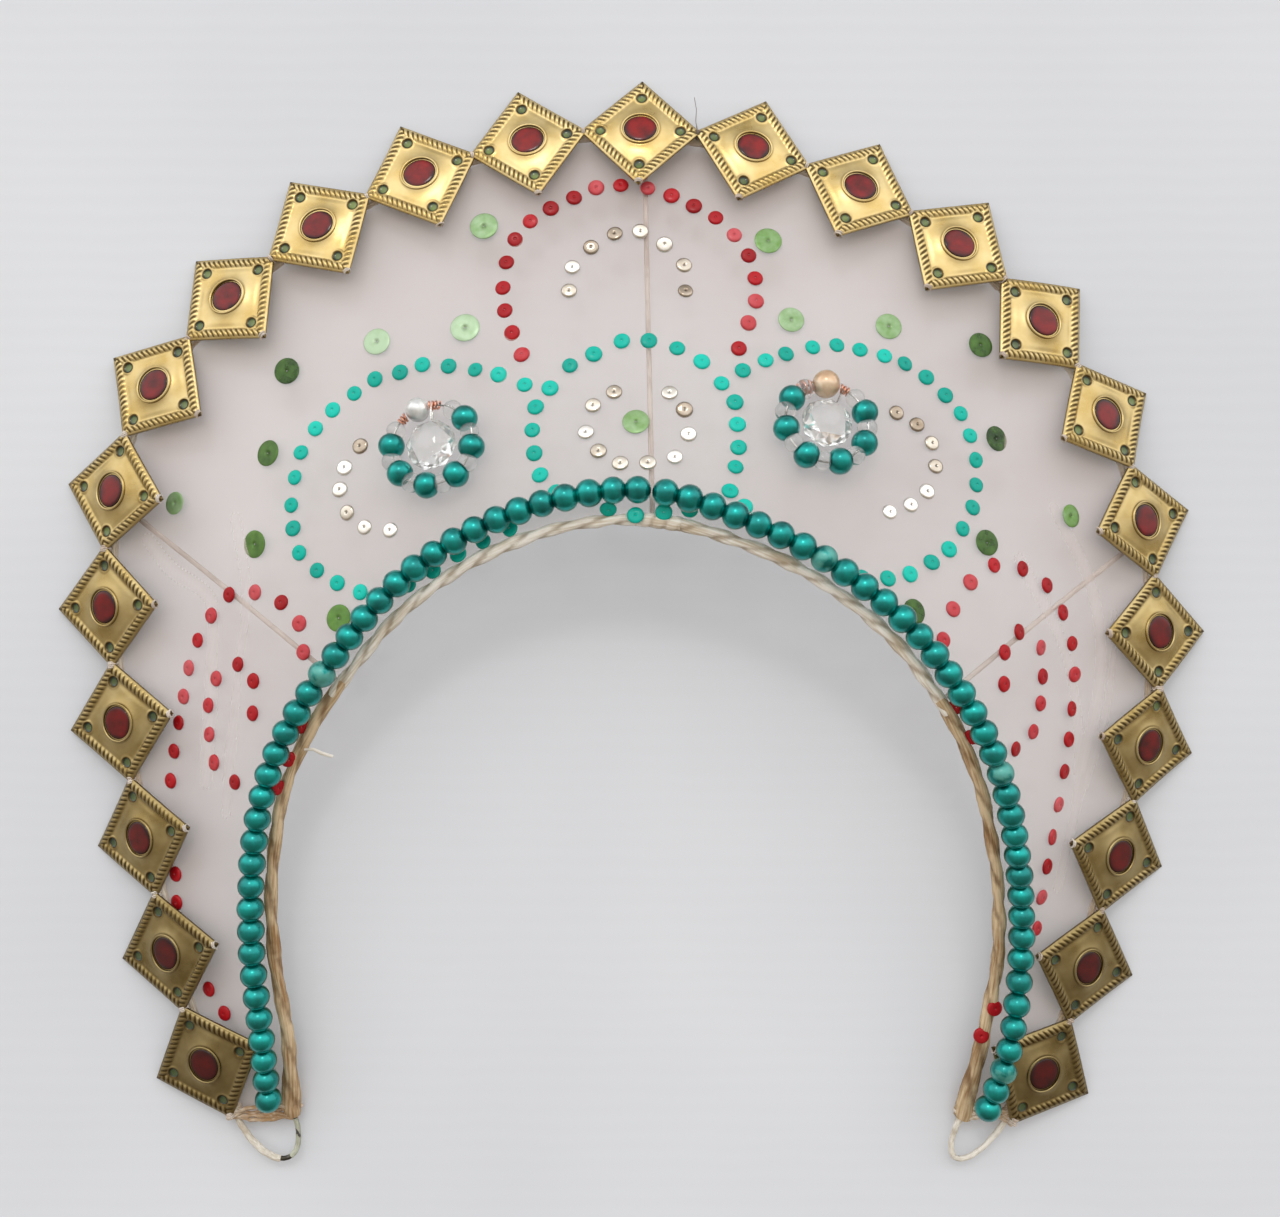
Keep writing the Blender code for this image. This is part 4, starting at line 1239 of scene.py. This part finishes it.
PEARL = pearl_shape()
teal_lacquer = pearl_lacquer("green_pearl_lacquer", "#007672", "#009C95", "#5FACA3", 0.95, 0.28)
WORN_BEADS = {"bead_string_left": (16,), "bead_string_right": (7, 19, 33)}
for node, end in (("bead_string_left", 0.0), ("bead_string_right", LAST_JOINT)):
    path = bead_line(np.linspace(LAST_JOINT / 2, end, 400))
    count = int((lengths_of(path)[-1] - STRING_GAP - STRING_END) / BEAD_PITCH)
    middles = STRING_GAP + (np.arange(count) + 0.5) * BEAD_PITCH
    centres = points_along(path, middles)
    ahead = unit(points_along(path, middles + 1 * MM) - points_along(path, middles - 1 * MM))
    dice = np.random.default_rng(7 if end else 5)
    places = []
    for k in range(count):
        lean = ahead[k] + dice.normal(0, 0.06, 3)
        size = BEAD_RADIUS * dice.uniform(0.99, 1.035)
        tone = 1.0 if k in WORN_BEADS[node] else dice.uniform(0.0, 0.55)
        places.append((centres[k], (0, 0, 1), lean, size, tone))
    string = set_out(node + "_pearls", PEARL, teal_lacquer, places)
    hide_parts(node)
    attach(string, "root")

# The two rosettes
# Silvered wire threads a ring of six green pearls and seven clear beads round a cut
# crystal. One larger pearl closes the ring, between two tight coils of copper wire.
RING_RADIUS = 9.4 * MM
RING_LIFT = 0.4 * MM
CLEAR_BEAD = 2.25 * MM
COPPER_RADIUS = 0.24 * MM
CORE_RADIUS = 0.16 * MM
COIL_RADIUS = 0.85 * MM
COIL_TURNS = 3
COIL_LENGTH = 2.3 * MM
CRYSTAL_RADIUS = 5.8 * MM
CRYSTAL_SIDES = 7
HAZE_SIZE = 2.0 * MM
OXIDE_SIZE = 1.11 * MM
ROSETTES = (
    # name, turn of the large pearl, of the first green pearl, step, pearl radius
    ("left", 116.0, 40.0, -44.0, 2.75 * MM),
    ("right", 86.0, 17.0, -47.0, 3.20 * MM),
)


def clear_glass(name, tint, roughness, clear):
    """Pressed glass or acrylic: clear and bright, a little hazy in places."""
    material, tree, shader = start_material(name)
    place = add(tree, "ShaderNodeTexCoord").outputs["Object"]
    haze = add(tree, "ShaderNodeTexNoise", {"Vector": place, "Scale": 1 / HAZE_SIZE, "Detail": 2.0})
    rough = add(
        tree,
        "ShaderNodeMapRange",
        {0: haze.outputs[0], 1: 0.4, 2: 0.8, 3: roughness, 4: roughness + 0.1},
    )
    tree.links.new(rough.outputs[0], shader.inputs["Roughness"])
    shader.inputs["Base Color"].default_value = linear(tint)
    shader.inputs["Transmission Weight"].default_value = clear
    shader.inputs["IOR"].default_value = 1.5
    return material


def bright_copper():
    """Soft copper craft wire: pinkish orange, lightly oxidised in the coils."""
    material, tree, shader = start_material("copper_craft_wire")
    place = add(tree, "ShaderNodeTexCoord").outputs["Object"]
    oxide = add(tree, "ShaderNodeTexNoise", {"Vector": place, "Scale": 1 / OXIDE_SIZE, "Detail": 2.0})
    tint = add(
        tree,
        "ShaderNodeValToRGB",
        {0: oxide.outputs[0]},
        ramp=[(0.3, "#B8735A"), (0.6, "#EDB096")],
    )
    tree.links.new(tint.outputs[0], shader.inputs["Base Color"])
    shader.inputs["Metallic"].default_value = 1.0
    shader.inputs["Roughness"].default_value = 0.28
    return material


def crystal_piece(name, centre, across_axis, up_axis, normal, material):
    """Facets in staggered rows, from a small table on top to a pointed back."""
    rows = (
        # height, radius and turn of each row of corners
        (-0.52, 0.12, 0.0),
        (-0.36, 0.62, 0.5),
        (-0.06, 1.00, 0.0),
        (0.08, 1.00, 0.5),
        (0.30, 0.80, 0.0),
        (0.57, 0.38, 0.5),
        (0.60, 0.24, 0.0),
    )
    points = []
    for rise, wide, twist in rows:
        for i in range(CRYSTAL_SIDES):
            angle = 2 * math.pi * (i + twist) / CRYSTAL_SIDES
            spoke = across_axis * math.cos(angle) + up_axis * math.sin(angle)
            points.append(centre + CRYSTAL_RADIUS * (spoke * wide + normal * rise))
    faces = []
    for k in range(len(rows) - 1):
        later = rows[k + 1][2] > rows[k][2]
        for i in range(CRYSTAL_SIDES):
            a, b = k * CRYSTAL_SIDES + i, k * CRYSTAL_SIDES + (i + 1) % CRYSTAL_SIDES
            c, d = a + CRYSTAL_SIDES, (k + 1) * CRYSTAL_SIDES + (i + 1) % CRYSTAL_SIDES
            faces += [(a, b, c), (b, d, c)] if later else [(a, b, d), (a, d, c)]
    faces.append(tuple(reversed(range(CRYSTAL_SIDES))))
    faces.append(tuple(range((len(rows) - 1) * CRYSTAL_SIDES, len(rows) * CRYSTAL_SIDES)))
    return mesh_piece(name, points, faces, material, smooth=False)


white_lacquer = pearl_lacquer("white_pearl_lacquer", "#BFC1C2", "#F4F4F2", "#D8D8D4", 0.45, 0.22)
cream_lacquer = pearl_lacquer("cream_pearl_lacquer", "#CBA885", "#F0DCC2", "#E2C6A4", 0.45, 0.24)
clear_bead = clear_glass("clear_glass_bead", "#F4F4F4", 0.02, 0.88)
cut_crystal = clear_glass("cut_crystal", "#FFFFFF", 0.0, 0.86)
silver_wire = drawn_steel("silvered_craft_wire", "#E4E2DE", 0.2)
copper = bright_copper()
for side, pearl_turn, first_turn, bead_step, pearl_radius in ROSETTES:
    low, high = (np.array(corner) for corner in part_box(f"{side}_rosette_crystal"))
    near = np.linspace(0.5, LAST_JOINT - 0.5, 441)[:, None], np.linspace(0.05, 0.95, 91)[None, :]
    away = np.linalg.norm(sheet_point(*near)[..., :2] - ((low + high) / 2)[:2], axis=-1)
    i, j = np.unravel_index(np.argmin(away), away.shape)
    spot = near[0][i, 0], near[1][0, j]
    # The rosette's place on the sheet is corrected until its crystal lies in the frame's box.
    for _ in range(3):
        normal = sheet_normal(*spot)
        centre = sheet_point(*spot) + normal * (SHEET_WALL / 2 + CLEARANCE + RING_LIFT + BEAD_RADIUS)
        seen = centre + normal * CRYSTAL_RADIUS * 0.06
        wanted = (low + high) / 2 - (seen - sheet_point(*spot))
        away = np.linalg.norm(sheet_point(*near)[..., :2] - wanted[:2], axis=-1)
        i, j = np.unravel_index(np.argmin(away), away.shape)
        spot = near[0][i, 0], near[1][0, j]
    across_axis = unit(np.cross((0.0, 1.0, 0.0), normal))
    up_axis = np.cross(normal, across_axis)

    def on_ring(turn, out=0.0, rise=0.0):
        turn = math.radians(turn)
        spoke = across_axis * math.cos(turn) + up_axis * math.sin(turn)
        ahead = up_axis * math.cos(turn) - across_axis * math.sin(turn)
        return centre + spoke * (RING_RADIUS + out) + normal * rise, ahead

    green_places, clear_places = [], []
    dice = np.random.default_rng(11 if side == "left" else 12)
    first_clear = first_turn - bead_step * 0.5
    for k in range(7):
        aside, rise = dice.uniform(-0.4, 0.4) * MM, dice.uniform(-0.3, 0.3) * MM
        point, ahead = on_ring(first_clear + k * bead_step, aside, rise)
        clear_places.append((point, normal, ahead, CLEAR_BEAD * dice.uniform(0.95, 1.05), 0.2))
        if k < 6:
            point, ahead = on_ring(first_turn + k * bead_step)
            green_places.append((point, normal, ahead, BEAD_RADIUS, dice.uniform(0, 0.4)))
    ring = set_out(f"{side}_rosette_green_pearls", PEARL, teal_lacquer, green_places)
    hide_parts(f"{side}_rosette_ring")
    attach(ring, "root")
    clear = set_out(f"{side}_rosette_clear_beads", PEARL, clear_bead, clear_places)
    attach(clear, "root")

    point, ahead = on_ring(pearl_turn, 0.0, pearl_radius - BEAD_RADIUS)
    lacquer = white_lacquer if side == "left" else cream_lacquer
    place = (point, normal, ahead, pearl_radius, 0.3)
    pearl = set_out(f"{side}_rosette_large_pearl", PEARL, lacquer, [place])
    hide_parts(f"{side}_rosette_pearl")
    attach(pearl, "root")

    crystal = crystal_piece(f"{side}_cut_crystal", centre, across_axis, up_axis, normal, cut_crystal)
    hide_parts(f"{side}_rosette_crystal")
    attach(crystal, "root")

    degrees = 180 / math.pi / RING_RADIUS
    gap = (pearl_radius + 0.2 * MM) * degrees
    core = [on_ring(pearl_turn - gap - v)[0] for v in np.linspace(0, 360 - 2 * gap, 160)]
    stem = on_ring(pearl_turn - gap * 1.2)[0]
    stems = [np.array([stem, centre + (stem - centre) * share]) for share in (0.52, 0.60)]
    stems = [line + normal * (k - 0.5) * MM for k, line in enumerate(stems)]
    stems = [points_along(line, np.linspace(0, 4.4, 12) * MM) for line in stems]
    threaded = [np.array(core)] + stems
    core_wire = wind(f"{side}_rosette_wire", threaded, silver_wire, Radius=CORE_RADIUS, Sides=8)
    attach(core_wire, "root")
    for which, sign in (("first", -1), ("last", 1)):
        coil = []
        for v in np.linspace(0, 1, COIL_TURNS * POINTS_PER_TURN):
            point, _ = on_ring(pearl_turn + sign * (gap + v * COIL_LENGTH * degrees))
            outward = unit(point - centre)
            turn = v * COIL_TURNS * 2 * math.pi
            coil.append(point + COIL_RADIUS * (outward * math.cos(turn) + normal * math.sin(turn)))
        name = f"{side}_rosette_{which}_coil"
        coil = wind(name, np.array(coil), copper, Radius=COPPER_RADIUS, Step=0.25 * MM, Sides=8)
        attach(coil, "root")

# The sequins sewn on the sheet
# They are cupped discs of coloured plastic film with a hole in the middle, sewn in
# lines that draw flowers, with larger flat ones set between the lines.
SEQUIN_RADIUS = 1.88 * MM
SEQUIN_LIFT = 0.75 * MM
SIDE_LEAN = 0.36
LEAN_FROM = 70 * MM
LEAN_TO = 92 * MM
TINT_SIZE = 2.0 * MM
SEQUIN_LINES = (
    # colour, count, then the places of the line in mm
    # the middle arch
    ("red", 21, ((-25, 60), (-29, 70), (-29.5, 80), (-25, 91), (-14, 98.5), (-2, 101.6), (10, 98.8),
        (20, 92.8), (27, 84), (28.4, 73), (24.3, 62))),
    # the inner arch
    ("silver", 8, ((-14.3, 75.5), (-13.5, 81.5), (-9, 86.8), (-2.5, 90), (4.5, 88.8), (9, 85),
        (12, 80.8), (12.4, 75.4))),
    # the middle top
    ("teal", 8, ((-18.2, 52.4), (-13.3, 57.7), (-7, 61.2), (-1.5, 62.9), (4.5, 63.2), (10.3, 61.6),
        (15.6, 58.4), (20.2, 53.4))),
    # the middle left
    ("teal", 5, ((-21.5, 47.5), (-22, 42), (-21.2, 36.5), (-20, 32), (-16.4, 28.4))),
    # the middle right
    ("teal", 6, ((22.8, 48.5), (23.4, 43), (23.9, 37.4), (22.9, 33), (21.2, 28.6), (24.4, 24.9))),
    # the middle ring
    ("silver", 10, ((-3.9, 51.2), (-9, 47), (-9.9, 42), (-7.3, 37.6), (-3, 34.7), (3, 34.4),
        (8.8, 35.8), (12.2, 40), (12, 45.8), (8.4, 51.2))),
    # the right lobe
    ("teal", 21, ((25, 56.3), (34.4, 60.3), (45, 62.5), (56, 61), (67.5, 55.6), (75, 47.5), (78, 36),
        (76.6, 25), (70, 15.8), (61.5, 10.4), (49.8, 9.6))),
    # the left lobe
    ("teal", 18, ((-24.4, 53.4), (-35, 57), (-47, 58.4), (-58, 55.3), (-69, 47.7), (-76, 37.5),
        (-77.4, 26), (-74.5, 14.6), (-68, 9.6), (-60, 6.5))),
    # the left curl
    ("silver", 6, ((-61.4, 39.4), (-65.2, 34.7), (-66, 29.4), (-64.4, 24.3), (-60, 21.4), (-54, 20.5))),
    # the right curl
    ("silver", 7, ((59.5, 46.9), (64.2, 44.4), (67.7, 40), (68.2, 35), (66.3, 29.7), (62.3, 26),
        (56.6, 24.3))),
    # the left petal
    ("red", 12, ((-73.1, -6.9), (-74.8, -0.6), (-79, 4.2), (-85.2, 6.8), (-92, 6), (-98.3, -0.5),
        (-102, -10), (-105, -22), (-107, -37))),
    # the left loop
    ("red", 6, ((-89.9, -9.6), (-94.5, -12), (-97.2, -19), (-97, -27), (-94.8, -33.5), (-90.7, -37))),
    # the right petal
    ("red", 17, ((67.5, -4), (70, 2.5), (74.2, 7.8), (80, 11.6), (86.5, 12.6), (92.6, 10.3),
        (97.2, 4.6), (100.2, -4), (101, -14), (99.2, -30), (97.2, -47), (93.6, -71.2))),
    # the right loop
    ("red", 6, ((87.2, -2.7), (91, -4), (92.8, -10.8), (92, -18.9), (89.4, -25.6), (85.3, -28.5))),
    # the under beads
    ("teal", 5, ((-26.6, 20.3), (-32, 17.8), (-37.8, 14.8), (-43.8, 11.3), (-48.9, 8))),
)
SINGLE_SEQUINS = (
    # side and up in mm, tilt towards the hollow in degrees, lift in mm, colour
    (-106.4, -59.0, 5, 0.75, "red"),
    (-106.3, -65.7, 0, 0.75, "red"),
    (-98.9, -86.0, 0, 0.75, "red"),
    (-95.2, -91.6, 6, 0.75, "red"),
    (-85.9, -13.6, 5, 0.75, "red"),
    (-86.0, -20.9, 0, 0.75, "red"),
    (83.0, -6.9, 0, 0.75, "red"),
    (82.6, -13.9, 4, 0.75, "red"),
    (-72.6, -23.6, 50, 1.6, "red"),
    (-75.8, -31.0, 42, 1.4, "red"),
    (-78.4, -37.4, 55, 1.4, "red"),
    (69.6, -18.6, 40, 1.4, "red"),
    (73.3, -25.3, 45, 1.4, "red"),
    (83.5, -89.3, 25, 1.2, "red"),
    (80.5, -95.7, 30, 1.2, "red"),
    (-4.8, 23.4, 48, 1.5, "teal"),
    (1.0, 22.3, 8, 1.9, "teal"),
    (7.0, 22.8, 22, 1.9, "teal"),
    (12.4, 23.0, 52, 1.5, "teal"),
)
LARGE_SEQUINS = (
    # side and up in mm, radius in mm, tone from dark 0 to bright 1: painted shade and reflection
    (-34.3, 91.6, 3.3, 0.75), (31.5, 87.8, 3.2, 0.62), (-38.0, 66.9, 3.4, 0.95), (-58.6, 64.2, 3.2, 1.0),
    (-79.8, 57.8, 3.1, 0.12), (-83.5, 38.5, 3.1, 0.2), (-106.0, 27.3, 2.7, 0.7), (-85.9, 17.5, 3.2, 0.3),
    (-65.0, 0.7, 3.1, 0.4), (36.3, 68.5, 3.0, 0.75), (58.9, 67.5, 3.1, 0.7), (80.7, 63.8, 3.0, 0.15),
    (83.3, 41.6, 3.0, 0.05), (100.8, 24.1, 2.7, 0.55), (79.4, 17.5, 3.0, 0.15), (61.0, 2.0, 2.9, 0.15),
    (1.0, 43.9, 3.0, 0.7),
)


def cup_shape():
    """A cupped sequin of radius 1: a tiny hole, a nearly flat middle and a sloping rim."""
    rows = [(0.05, 0.0), (0.35, 0.0), (0.70, -0.02), (0.88, -0.06), (1.0, -0.26)]
    rows += [(0.96, -0.32), (0.80, -0.12), (0.05, -0.07)]
    return ring_shape("cup_shape", rows, 18)


def ring_shape(name, rows, sides):
    """A turned shape round a hole, whose last row joins its first."""
    turns = np.linspace(0, 2 * math.pi, sides, endpoint=False)
    points = [(r * math.cos(t), r * math.sin(t), h) for r, h in rows for t in turns]
    faces = []
    for k in range(len(rows)):
        faces += ring_faces(((k + 1) % len(rows)) * sides, k * sides, sides)
    return mesh_piece(name, points, faces)


def disc_shape():
    """A large flat sequin of radius 1, a little bowed, with a small hole."""
    rows = [(0.06, 0.0), (0.35, 0.008), (0.70, 0.012), (0.95, 0.0), (1.0, -0.02)]
    rows += [(0.99, -0.06), (0.06, -0.05)]
    return ring_shape("disc_shape", rows, 32)


def film(name, dark, mid, bright, metallic, roughness, alpha):
    """Metallised or dyed plastic film: glossy, each sequin a little different in tone."""
    material, tree, shader = start_material(name)
    place = add(tree, "ShaderNodeTexCoord").outputs["Object"]
    tone = add(tree, "ShaderNodeAttribute", attribute_name="tone").outputs["Fac"]
    cloudy = add(tree, "ShaderNodeTexNoise", {"Vector": place, "Scale": 1 / TINT_SIZE, "Detail": 3.0})
    mixed = add(tree, "ShaderNodeMapRange", {0: cloudy.outputs[0], 3: -0.25, 4: 0.25})
    mixed = add(tree, "ShaderNodeMath", {0: mixed.outputs[0], 1: tone}, operation="ADD")
    tint = add(
        tree,
        "ShaderNodeValToRGB",
        {0: mixed.outputs[0]},
        ramp=[(0.0, dark), (1.0, bright), (0.5, mid)],
    )
    tree.links.new(tint.outputs[0], shader.inputs["Base Color"])
    shader.inputs["Metallic"].default_value = metallic
    shader.inputs["Roughness"].default_value = roughness
    shader.inputs["Alpha"].default_value = alpha
    shader.inputs["Specular IOR Level"].default_value = 0.2
    shader.inputs["Coat Weight"].default_value = 0.1
    return material


def sheet_spot(x, y):
    """The point and the normal of the sheet under a place given in plan."""
    near = np.linspace(0.0, LAST_JOINT, 1151)[:, None], np.linspace(0.0, 1.0, 121)[None, :]
    away = np.linalg.norm(sheet_point(*near)[..., :2] - np.array([x, y]), axis=-1)
    i, j = np.unravel_index(np.argmin(away), away.shape)
    point = sheet_point(near[0][i, 0], near[1][0, j])
    return np.array([x, y, point[2]]), sheet_normal(near[0][i, 0], near[1][0, j])


CUP = cup_shape()
DISC = disc_shape()
FILMS = {
    "red": film("red_film", "#8E0A12", "#B4151F", "#CE6067", 0.05, 0.35, 1.0),
    "teal": film("teal_film", "#00998A", "#00B6A4", "#16CCBA", 0.0, 0.42, 1.0),
    "silver": film("silver_film", "#8A7763", "#CDC4B6", "#F6F4F0", 1.0, 0.13, 1.0),
    "green": film("green_film", "#2A4420", "#6C9A44", "#BAD4B2", 0.3, 0.32, 0.82),
}


def side_lean(x):
    """How far the sequins of the two arms lean outward, as a tangent."""
    return np.array([np.sign(x) * SIDE_LEAN * smooth_step(LEAN_FROM, LEAN_TO, abs(x)), 0.0, 0.0])


dice = np.random.default_rng(21)
for colour in ("red", "teal", "silver"):
    places = []
    for line_colour, count, line in SEQUIN_LINES:
        if line_colour != colour:
            continue
        for x, y in smooth_line(line, count):
            x, y = np.array([x, y]) + dice.normal(0, 0.22 * MM, 2)
            point, normal = sheet_spot(x, y)
            lean = normal + side_lean(x) + dice.normal(0, 0.07, 3)
            size = SEQUIN_RADIUS * dice.uniform(0.95, 1.05)
            turn, tone = dice.normal(0, 1, 3), dice.uniform(0.1, 0.9)
            places.append((point + normal * SEQUIN_LIFT, turn, lean, size, tone))
    for side_mm, up_mm, tilt, lift, single_colour in SINGLE_SEQUINS:
        if single_colour == colour:
            point, normal = sheet_spot(side_mm * MM, up_mm * MM)
            inward = unit(np.array([-point[0], -0.06 - point[1], 0.0]))
            lean = normal + side_lean(point[0]) + inward * math.tan(math.radians(tilt))
            places.append((point + normal * lift * MM, dice.normal(0, 1, 3), lean, SEQUIN_RADIUS, 0.35))
    sequins = set_out(f"{colour}_sequins", CUP, FILMS[colour], places)
    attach(sequins, "root")
places = []
# Each large disc's listed tone paints how much light it reflects: the bright ones a painted reflection, the
# dark ones painted shade.
for x, y, radius, tone in LARGE_SEQUINS:
    point, normal = sheet_spot(x * MM, y * MM)
    lean = normal + side_lean(point[0]) + dice.normal(0, 0.05, 3)
    places.append((point + normal * SEQUIN_LIFT, dice.normal(0, 1, 3), lean, radius * MM, tone))
sequins = set_out("large_green_sequins", DISC, FILMS["green"], places)
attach(sequins, "root")

# The pearl, cup and disc that were copied are taken away
for shape in (PEARL, CUP, DISC):
    bpy.data.objects.remove(shape, do_unlink=True)

sizes = {"cad": cad_bounds, "visual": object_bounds()}
sizes = {name: [[float(value) for value in corner] for corner in box] for name, box in sizes.items()}
